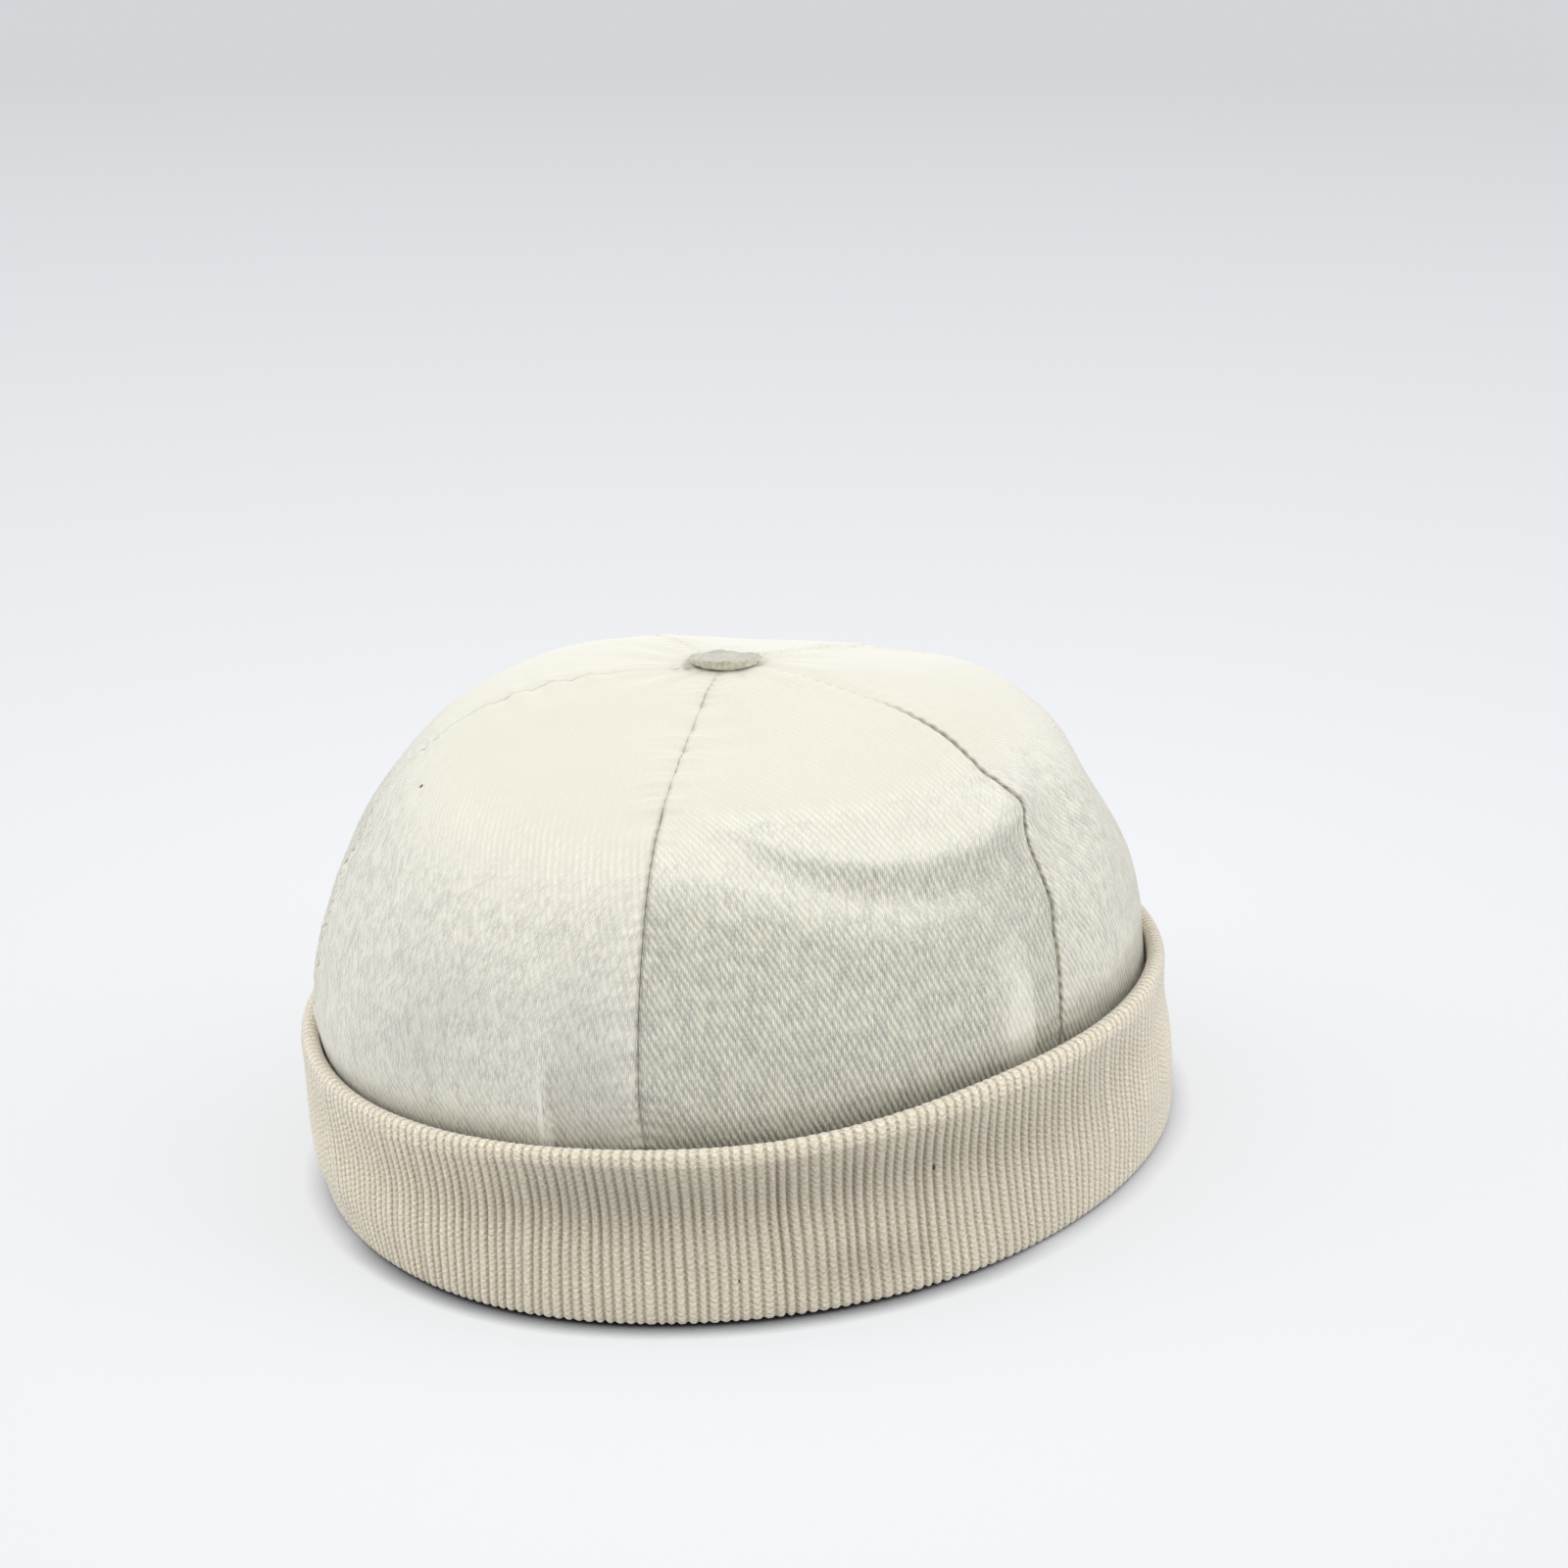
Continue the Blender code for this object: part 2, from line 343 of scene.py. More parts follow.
def even_wave(tree, angle):
    """Wave from 1 where the angle is a whole turn down to 0 at half a turn."""
    wave = add(tree, "Math", (angle,), "COSINE")
    return add(tree, "Math", (wave, 0.5, 0.5), "MULTIPLY_ADD")


def row_of_arches(tree, count, shift=0.0):
    """Arches side by side, one to each count: 0 between them and 1 on top."""
    angle = add(tree, "Math", (count, math.pi, shift), "MULTIPLY_ADD")
    sine = add(tree, "Math", (angle,), "SINE")
    return add(tree, "Math", (sine,), "ABSOLUTE")


# Threads of the twill and courses of the knit, drawn as coarse as they need to be to show: the warps
# of such a twill are really about 0.3 mm apart. Then how the yarn wanders, is closed by washing, is
# specked, clouded and streaked.
TWILL_WARP_PITCH = 0.485 * MM
TWILL_WEFT_PITCH = 0.95 * MM
TWILL_REPEAT = 3
TWILL_WANDER = 5.88 * MM
WASHED_PATCH = 4.17 * MM
YARN_SPECK = 1.0 * MM
CLOTH_CLOUD = 38.5 * MM
STREAK_WIDTH = 0.91 * MM
STREAK_LENGTH = 14.3 * MM
KNIT_COURSE = 1.30 * MM
PATCH_GREY = "#B4AEAE"
# colour of the thread and dust in the seams, and of the painted shade there, behind the rim and beside
# creases
SEAM_DUST_AND_SHADE = "#8F8A74"
HUSK_BROWN = "#5A4A38"


def twill_material(name, ridge_colour, furrow_colour):
    """Cotton twill woven two up and one down, garment washed: broken beaded ribs, painted darker in the
    furrows as shade; on top they are napped, washed out by painted light and painted greyer as shade.
    """
    material, tree, shader = new_material(name)
    cut = add(tree, "UVMap", uv_map="cut")
    wander = add(tree, "TexNoise", {"Vector": cut, "Scale": 1 / TWILL_WANDER, "Detail": 2.0})
    shift = add(tree, "VectorMath", (wander.outputs["Color"], (0.5, 0.5, 0.5)), "SUBTRACT")
    drift = add(tree, "VectorMath", {0: shift, "Scale": 0.7 * MM}, "SCALE")
    place = add(tree, "VectorMath", (cut, drift), "ADD")
    threads = add(tree, "Mapping", {"Vector": place,
                                    "Scale": (1 / TWILL_WARP_PITCH, 1 / TWILL_WEFT_PITCH, 1.0)})
    count = add(tree, "SeparateXYZ", (threads,))
    # the wale, a slanting rib that climbs one weft for each warp
    slant = add(tree, "Math", (count.outputs["X"], count.outputs["Y"]), "ADD")
    wale_angle = add(tree, "Math", (slant, math.tau / TWILL_REPEAT), "MULTIPLY")
    wale = even_wave(tree, wale_angle)
    # the warp threads that lie over it, one bead for each float, and each a little different
    warp = add(tree, "Math", (count.outputs["X"],), "FLOOR")
    warp_share = add(tree, "Math", (count.outputs["X"],), "FRACT")
    step = add(tree, "Math", (count.outputs["Y"], warp), "ADD")
    centred = add(tree, "Math", (step, 1 / TWILL_REPEAT, 1 / (2 * TWILL_REPEAT)), "MULTIPLY_ADD")
    over_angle = add(tree, "Math", (centred, math.tau), "MULTIPLY")
    over = even_wave(tree, over_angle)
    arched = add(tree, "Math", (row_of_arches(tree, warp_share), 0.7), "POWER")
    thread = add(tree, "Math", (over, arched), "MULTIPLY")
    float_number = add(tree, "Math", (centred, 0.5), "ADD")
    float_row = add(tree, "Math", (float_number,), "FLOOR")
    float_place = add(tree, "CombineXYZ", (warp, float_row))
    chance = add(tree, "TexWhiteNoise", {"Vector": float_place}, noise_dimensions="2D")
    wale_part = add(tree, "Math", (wale, 0.5), "MULTIPLY")
    plain_height = add(tree, "Math", (thread, 0.95, wale_part), "MULTIPLY_ADD")
    lift = add(tree, "Math", (chance, 1.5, 0.25), "MULTIPLY_ADD")
    woven = add(tree, "Math", (plain_height, lift), "MULTIPLY")
    # washing closes the ribs in patches; nap, and painted light that washes them out, hide them where the
    # cloth faces up and is rubbed
    patch = add(tree, "TexNoise", {"Vector": cut, "Scale": 1 / WASHED_PATCH, "Detail": 1.0})
    open_ribs = add(tree, "MapRange", {"Value": patch, "From Min": 0.32, "From Max": 0.64,
                                       "To Min": 1.4, "To Max": 1.75})
    nap_and_painted_light = add(tree, "Attribute", attribute_name="nap_and_painted_light")
    clear = add(tree, "Math", (1.0, nap_and_painted_light.outputs["Fac"]), "SUBTRACT")
    crisp = add(tree, "Math", (open_ribs, clear), "MULTIPLY")
    # crests of creases are painted pale as a highlight, and where the cloth faces up it is painted greyer
    # than the walls as shade
    crest_rub_and_highlight = add(tree, "Attribute", attribute_name="crest_rub_and_highlight")
    painted_top_shade = add(tree, "MapRange", {"Value": nap_and_painted_light.outputs["Fac"], "From Min": 0.5, "From Max": 1.0,
                                      "To Min": 0.98, "To Max": 0.50})
    level = add(tree, "Math", (crest_rub_and_highlight.outputs["Fac"], 0.30, painted_top_shade), "MULTIPLY_ADD")
    from_mean = add(tree, "Math", (woven, 0.60), "SUBTRACT")
    height = add(tree, "Math", (from_mean, crisp, level), "MULTIPLY_ADD")
    # uneven yarn: streaks along the warp, specks and slow clouds
    streaks = add(tree, "Mapping", {"Vector": cut, "Scale": (1 / STREAK_WIDTH, 1 / STREAK_LENGTH, 1.0)})
    streak = add(tree, "TexNoise", {"Vector": streaks, "Scale": 1.0, "Detail": 2.0})
    mottle = add(tree, "TexNoise", {"Vector": cut, "Scale": 1 / YARN_SPECK, "Detail": 1.0})
    cloud = add(tree, "TexNoise", {"Vector": cut, "Scale": 1 / CLOTH_CLOUD, "Detail": 2.0})
    # painted shade: the furrows between the ribs are coloured darker than their tops
    colour = add(tree, "Mix", {0: height, 6: linear(furrow_colour), 7: linear(ridge_colour)},
                 data_type="RGBA")
    streaked = add(tree, "Math", (streak, 0.10, -0.18), "MULTIPLY_ADD")
    specked = add(tree, "Math", (mottle, 0.26, streaked), "MULTIPLY_ADD")
    uneven = add(tree, "Math", (specked, clear, 1.0), "MULTIPLY_ADD")
    cloud_tone = add(tree, "Math", (cloud, 0.06, 0.97), "MULTIPLY_ADD")
    both = add(tree, "Math", (uneven, cloud_tone), "MULTIPLY")
    toned = add(tree, "VectorMath", {0: colour.outputs[2], "Scale": both}, "SCALE")
    # the cloth is greyer in patches low on the front
    grey_patch = add(tree, "Attribute", attribute_name="grey_patch")
    greyed = add(tree, "Mix", {0: grey_patch.outputs["Fac"], 6: toned, 7: linear(PATCH_GREY)},
                 data_type="RGBA")
    # thread and dust in the seams, with painted shade in their grooves; and painted shade low down behind
    # the rim and on the right of creases
    seam_dust_and_painted_shade = add(tree, "Attribute", attribute_name="seam_dust_and_painted_shade")
    marked = add(tree, "Mix", {0: seam_dust_and_painted_shade.outputs["Fac"], 6: greyed.outputs[2], 7: linear(SEAM_DUST_AND_SHADE)},
                 data_type="RGBA")
    rough = add(tree, "Math", (mottle, clear), "MULTIPLY")
    relief = add(tree, "Math", (rough, 0.45, height), "MULTIPLY_ADD")
    bump = add(tree, "Bump", {"Height": relief, "Strength": 0.9, "Distance": 0.36 * MM})
    feed(tree, shader, {"Base Color": marked.outputs[2], "Normal": bump, "Roughness": 0.9,
                        "Sheen Weight": 0.6, "Sheen Roughness": 0.4, "Specular IOR Level": 0.25})
    return material


def knit_material(colours):
    """Cotton rib knit, one plain wale and one purl: beaded ribs painted pale on top as a highlight, with
    ladders and grooves between them painted in shade.
    """
    material, tree, shader = new_material("cotton_rib_knit_one_by_one")
    ribs = add(tree, "UVMap", uv_map="ribs")
    count = add(tree, "SeparateXYZ", (ribs,))
    share = add(tree, "Math", (count.outputs["X"],), "FRACT")
    centred = add(tree, "Math", (share, 0.5), "SUBTRACT")
    aside = add(tree, "Math", (centred,), "ABSOLUTE")
    ridge = add(tree, "MapRange", {"Value": aside, "From Min": 0.44, "From Max": 0.19},
                interpolation_type="SMOOTHSTEP")
    rib = add(tree, "Math", (count.outputs["X"],), "FLOOR")
    offset = add(tree, "TexWhiteNoise", {"W": rib}, noise_dimensions="1D")
    slide = add(tree, "Math", (offset, 1.0, count.outputs["Y"]), "MULTIPLY_ADD")
    slanted = add(tree, "Math", (aside, -1.1, slide), "MULTIPLY_ADD")
    loop = row_of_arches(tree, slanted)
    bar = row_of_arches(tree, slide, 1.2)
    # these count in ribs and courses, of about 2 and 1.3 mm
    fibre = add(tree, "TexNoise", {"Vector": ribs, "Scale": 2.9, "Detail": 2.0, "Roughness": 0.7})
    cloud = add(tree, "TexNoise", {"Vector": ribs, "Scale": 0.09, "Detail": 2.0})
    broken = add(tree, "TexNoise", {"Vector": ribs, "Scale": 0.8, "Detail": 1.0})
    closed = add(tree, "MapRange", {"Value": broken, "From Min": 0.35, "From Max": 0.65, "To Max": 0.8})
    bars = add(tree, "Math", (bar, closed), "MAXIMUM")
    bars_shut = add(tree, "Math", (bars, bar), "MULTIPLY")
    # the gaps are painted dark as shade, crossed by ladders of yarn painted a little lighter, and the ribs'
    # loops are painted palest on top as a highlight
    gap = add(tree, "Mix", {0: bars_shut, 6: linear(colours.knit_gap), 7: linear(colours.knit_ladder)},
              data_type="RGBA")
    top = add(tree, "Mix", {0: loop, 6: linear(colours.knit_side), 7: linear(colours.knit_ridge)},
              data_type="RGBA")
    colour = add(tree, "Mix", {0: ridge, 6: gap.outputs[2], 7: top.outputs[2]}, data_type="RGBA")
    # the roll of the rim and the cuff's ends are painted paler as a highlight
    rim_and_end_highlight = add(tree, "Attribute", attribute_name="rim_and_end_highlight")
    paler = add(tree, "Math", (rim_and_end_highlight.outputs["Fac"], 0.30), "MULTIPLY")
    colour = add(tree, "Mix", {0: paler, 6: colour.outputs[2], 7: linear(colours.knit_rim_highlight)},
                 data_type="RGBA")
    fibre_tone = add(tree, "Math", (fibre, 1.25, 0.38), "MULTIPLY_ADD")
    cloud_tone = add(tree, "Math", (cloud, 0.12, 0.94), "MULTIPLY_ADD")
    # painted shade: the knit is darker where the slack share is high, most at its waist on the near side
    slack = add(tree, "Attribute", attribute_name="slack")
    painted_shade_tone = add(tree, "Math", (slack.outputs["Fac"], -0.34, 1.0), "MULTIPLY_ADD")
    soft_tone = add(tree, "Math", (fibre_tone, cloud_tone), "MULTIPLY")
    both = add(tree, "Math", (soft_tone, painted_shade_tone), "MULTIPLY")
    toned = add(tree, "VectorMath", {0: colour.outputs[2], "Scale": both}, "SCALE")
    relief = add(tree, "Math", (loop, 0.45, fibre), "MULTIPLY_ADD")
    bump = add(tree, "Bump", {"Height": relief, "Strength": 0.9, "Distance": 0.30 * MM})
    feed(tree, shader, {"Base Color": toned, "Normal": bump, "Roughness": 0.95,
                        "Sheen Weight": 1.0, "Sheen Roughness": 0.35, "Specular IOR Level": 0.2})
    return material


# Turn, in radians, of the side on which the foot's shadow is deepest
SHADOW_TURN = 0.75


def table_material(colours):
    """Opal acrylic table top, matt, with a painted glow that only the camera sees, so bright that shadows
    stay pale: it fades and turns bluer far off, and near the foot it is cut by a painted shadow.
    """
    material, tree, shader = new_material("opal_acrylic_table_painted_glow")
    place = add(tree, "TexCoord")
    distance = add(tree, "VectorMath", (place.outputs["Object"],), "LENGTH")
    away = add(tree, "MapRange", {"Value": distance.outputs["Value"], "From Min": 0.05, "From Max": 2.3})
    far = add(tree, "Math", (away, 0.42), "POWER")
    seen = add(tree, "LightPath")
    # painted shadow: near the foot the table's glow and, to the camera, its colour are darkened by ambient
    # occlusion
    cover = add(tree, "AmbientOcclusion", {"Distance": 5.5 * MM}, samples=3)
    # the painted shadow is least on the left, where the lights shine in under the foot
    near_side = (math.sin(SHADOW_TURN), -math.cos(SHADOW_TURN), 0.0)
    aside = add(tree, "VectorMath", (place.outputs["Object"], near_side), "DOT_PRODUCT")
    depth = add(tree, "MapRange", {"Value": aside.outputs["Value"], "From Min": 0.06, "From Max": 0.09,
                                   "To Min": 0.5, "To Max": 2.8})
    open_part = add(tree, "Math", (cover.outputs["AO"], depth), "POWER")
    unseen = add(tree, "Math", (1.0, seen.outputs["Is Camera Ray"]), "SUBTRACT")
    shown_top = add(tree, "Math", (open_part, unseen), "MAXIMUM")
    # a painted glow that only the camera sees, bright near the hat and fading far off
    glow = add(tree, "Math", (far, -0.40, 0.49), "MULTIPLY_ADD")
    seen_glow = add(tree, "Math", (glow, seen.outputs["Is Camera Ray"]), "MULTIPLY")
    shown_glow = add(tree, "Math", (seen_glow, open_part), "MULTIPLY")
    tint = add(tree, "Mix", {0: far, 6: linear("#F9FBFA"), 7: linear("#EEF1FC")}, data_type="RGBA")
    top = add(tree, "VectorMath", {0: linear(colours.table)[:3], "Scale": shown_top}, "SCALE")
    feed(tree, shader, {"Base Color": top, "Roughness": 0.9, "Specular IOR Level": 0.1,
                        "Emission Color": tint.outputs[2], "Emission Strength": shown_glow})
    return material


# Sizes and colours that a user would change


class CuffSettings(bpy.types.PropertyGroup):
    """Knit of the turned-up cuff."""
    rib_count: IntProperty(name="Ribs", description="Ribs round the cuff", default=280, min=20)
    rib_depth: FloatProperty(name="Rib depth", description="Depth of the grooves between ribs",
                             default=0.47 * MM, unit="LENGTH", precision=5)
    waist: FloatProperty(name="Waist", description="How far a sink of 1 in the section stands in",
                         default=0.72 * MM, unit="LENGTH", precision=5)


class CrownSettings(bpy.types.PropertyGroup):
    """Cloth of the crown."""
    stitch: FloatProperty(name="Stitch", description="Length of one stitch along the seams",
                          default=2.9 * MM, unit="LENGTH", precision=5)
    seam_roll: FloatProperty(name="Seam roll", description="Radius that the cloth turns in with at a seam",
                             default=0.9 * MM, unit="LENGTH", precision=5)
    pucker: FloatProperty(name="Pucker", description="Height of the puckers beside the seams",
                          default=0.24 * MM, unit="LENGTH", precision=5)
    slack: FloatProperty(name="Slack", description="Height of the slow waves in the resting cloth",
                         default=0.45 * MM, unit="LENGTH", precision=5)


class ClothColours(bpy.types.PropertyGroup):
    """Colours as sRGB hex codes."""
    # the twill and button furrow colours are painted shade between their ribs
    twill_ridge: StringProperty(name="Twill ridge", description="Tops of its ribs", default="#FAF7E8")
    twill_furrow: StringProperty(name="Twill furrow", description="Between its ribs", default="#C3C0AA")
    button_ridge: StringProperty(name="Button ridge", description="Tops of its ribs", default="#D4D0BD")
    button_furrow: StringProperty(name="Button furrow", description="Between its ribs", default="#A6A08A")
    # the knit ridge is a painted highlight on the loops' tops; side, ladder and gap are painted shade,
    # darkest at the bottom of the grooves
    knit_ridge: StringProperty(name="Knit ridge", description="Tops of the loops", default="#F4EBD6")
    # colour of the painted highlight on the rim's roll and the cuff's ends
    knit_rim_highlight: StringProperty(name="Knit rim", description="Rubbed yarn on the rim", default="#FBF1DB")
    knit_side: StringProperty(name="Knit side", description="Between the loops", default="#E6DCC5")
    knit_ladder: StringProperty(name="Knit ladder", description="Across the grooves", default="#D1C6AD")
    knit_gap: StringProperty(name="Knit gap", description="Bottom of the grooves", default="#B6AA91")
    # colour of the table top; to the camera it also carries the painted glow and shadow
    table: StringProperty(name="Table", description="Top of the lit table", default="#BABBBC")


class StageSettings(bpy.types.PropertyGroup):
    """Camera and lights."""
    light: FloatProperty(name="Light", description="Brightness of the whole tent", default=1.04)
    lens: FloatProperty(name="Lens", description="Focal length in millimetres", default=70.2)
    distance: FloatProperty(name="Distance", description="From the camera to the middle of the foot",
                            default=0.70, unit="LENGTH")
    azimuth: FloatProperty(name="Azimuth", description="Turn of the camera from the front towards +X",
                           default=math.radians(44.0), subtype="ANGLE")
    elevation: FloatProperty(name="Elevation", description="Height of the camera over the table",
                             default=math.radians(25.0), subtype="ANGLE")


class HatSettings(bpy.types.PropertyGroup):
    """All settings of the hat."""
    cuff: PointerProperty(type=CuffSettings)
    crown: PointerProperty(type=CrownSettings)
    colours: PointerProperty(type=ClothColours)
    stage: PointerProperty(type=StageSettings)


# Cuff

# Section of the outer limb, from under the foot up the outside, over the rolled rim and down into
# the slit. Inset and height are in millimetres, and rim is the share of the rim's height that is
# added to the height. Sink is how far the slack knit stands in there, and ribs how deep they are.
CUFF_SECTION = (
    # inset  height  rim    sink   ribs
    (4.10,   0.00,   0.00,  0.00,  0.0),
    (2.90,   0.05,   0.00,  0.00,  0.3),
    (1.80,   0.30,   0.00,  0.00,  0.7),
    (0.60,   0.55,   0.00, -0.20,  0.9),
    (0.05,   1.60,   0.00, -0.30,  1.0),
    (0.00,   0.00,   0.15, -0.40,  1.0),
    (0.00,   0.00,   0.26, -0.30,  1.0),
    (0.00,   0.00,   0.38,  0.40,  1.15),
    (0.00,   0.00,   0.50,  1.80,  1.35),
    (0.00,   0.00,   0.61,  2.60,  1.5),
    (0.00,   0.00,   0.73,  2.20,  1.3),
    (0.00,   0.00,   0.86,  1.00,  0.9),
    (0.00,  -2.90,   1.00,  0.20,  0.45),
    (0.20,  -1.20,   1.00, -0.05,  0.22),
    (0.75,  -0.30,   1.00, -0.05,  0.14),
    (1.60,   0.00,   1.00,  0.00,  0.16),
    (2.80,  -0.20,   1.00,  0.00,  0.25),
    (3.75,  -1.10,   1.00,  0.00,  0.35),
    (4.05,  -2.60,   1.00,  0.00,  0.4),
    (3.80,   2.00,   0.60,  0.00,  0.4),
    (3.60,   3.40,   0.10,  0.00,  0.0),
)
CUFF_ROWS = 41
ROWS_BETWEEN = (1, 1, 1, 1.2, 2.5, 2, 2, 2, 2, 2, 2, 2.2, 1.4, 1.2, 1.2, 1.2, 1.2, 1.2, 1.4, 1.0)
POINTS_PER_RIB = 8
BAND_POINTS_PER_RIB = 2
BAND_RIB_DEPTH = 0.4 * MM

# Inner limb, up its outside and down its inside to the foot: inset, height and depth of its ribs
BAND_INSIDE = CUFF_WALL + CUFF_SLIT + BAND_WALL
BAND_SECTION = (
    (CUFF_WALL + CUFF_SLIT, CUFF_WALL, 0.0),
    (CUFF_WALL + CUFF_SLIT, BAND_HEIGHT, 0.0),
    (BAND_INSIDE, BAND_HEIGHT, BAND_RIB_DEPTH),
    (BAND_INSIDE, BAND_HEIGHT * 0.66, BAND_RIB_DEPTH),
    (BAND_INSIDE, BAND_HEIGHT * 0.33, BAND_RIB_DEPTH),
    (BAND_INSIDE, CUFF_WALL * 0.5, BAND_RIB_DEPTH),
    (CUFF_WALL + CUFF_SLIT + 0.8 * BAND_WALL, CUFF_WALL * 0.08, BAND_RIB_DEPTH),
    (CUFF_WALL + CUFF_SLIT, 0.0, 0.0),
)

# Places round the cuff where it changes: turn and half_turn in degrees, and how squarely each ends
CUFF_PLACES = (
    # name          turn   half_turn  power
    ("near",        42.0,  50.0,      4),
    ("left_end",   -46.0,  34.0,      2),
    ("left_back",  -80.0,  34.0,      2),
    ("right_back", 150.0,  38.0,      2),
    ("low_left",   -14.0,  26.0,      2),
    ("low_near",    48.0,  42.0,      4),
    ("shaded_front",   61.0,  49.0,      4),
)
LEFT_END_BULGE = 1.6 * MM
LOW_LEFT_SINK = 1.2 * MM
LOW_NEAR_BULGE = 1.9 * MM
RIGHT_BACK_HUG = 2.2 * MM
LEFT_BACK_RISE = 2.4 * MM
RIGHT_BACK_DROP = 4.5 * MM
WALL_WAVES = 0.25 * MM
RIM_WAVES = 0.30 * MM

# Share of the rim's height from which the section rolls in
ROLL_START = 0.99

# How the ribs stray to the side: wavelength, seed and reach as a share of a rib, then each by itself
RIB_STRAY = ((60.0 * MM, 3, 0.16), (22.0 * MM, 4, 0.07))
RIB_STRAY_EACH = 0.05

# Painted shade on the knit, by share of the rim's height, and one more shaded place: its
# turn, share, half_turn and half_share
KNIT_SHADE = ((0.0, 0.25), (0.1, 0.42), (0.25, 0.42), (0.4, 0.48), (0.55, 0.76), (0.65, 0.90),
             (0.75, 0.92), (0.85, 0.74), (0.93, 0.55), (1.0, 0.3))
SHADE_PLACE = (64.0, 0.22, 13.0, 0.18)


def curve_rows(table, count, weights):
    """Rows that follow a table of section points smoothly, spaced by the weights between them."""
    table = np.array(table, float)
    before = np.vstack([2 * table[0] - table[1], table, 2 * table[-1] - table[-2]])
    spacing = np.cumsum([0.0, *weights]) / sum(weights)
    place = np.interp(np.linspace(0, 1, count), spacing, range(len(table)))
    rows = []
    for value in place:
        i = min(int(value), len(table) - 2)
        t = value - i
        a, b, c, d = before[i:i + 4]
        rows.append(0.5 * (2 * b + (c - a) * t + (2 * a - 5 * b + 4 * c - d) * t ** 2
                           + (3 * b - a - 3 * c + d) * t ** 3))
    return np.array(rows)


def rim_height(turn):
    """Height of the rim above the table: slack knit lets it down a little on the near side."""
    let_down = 2.1 * bulge(turn, 18.0, 62.0, 4) + 0.7 * bulge(turn, 54.0, 16.0)
    return CUFF_HEIGHT - RIM_DIP * np.cos(turn - math.radians(RIM_DIP_TURN)) - let_down * MM


def cuff_points(turn, inset, height):
    """Points of the cuff's wall with its lean and flare."""
    share = height / CUFF_HEIGHT
    lean = [RIM_LEAN[i] * (share - 0.5) for i in (0, 1)]
    return plan_points(turn, inset - CUFF_FLARE * share, height, lean)


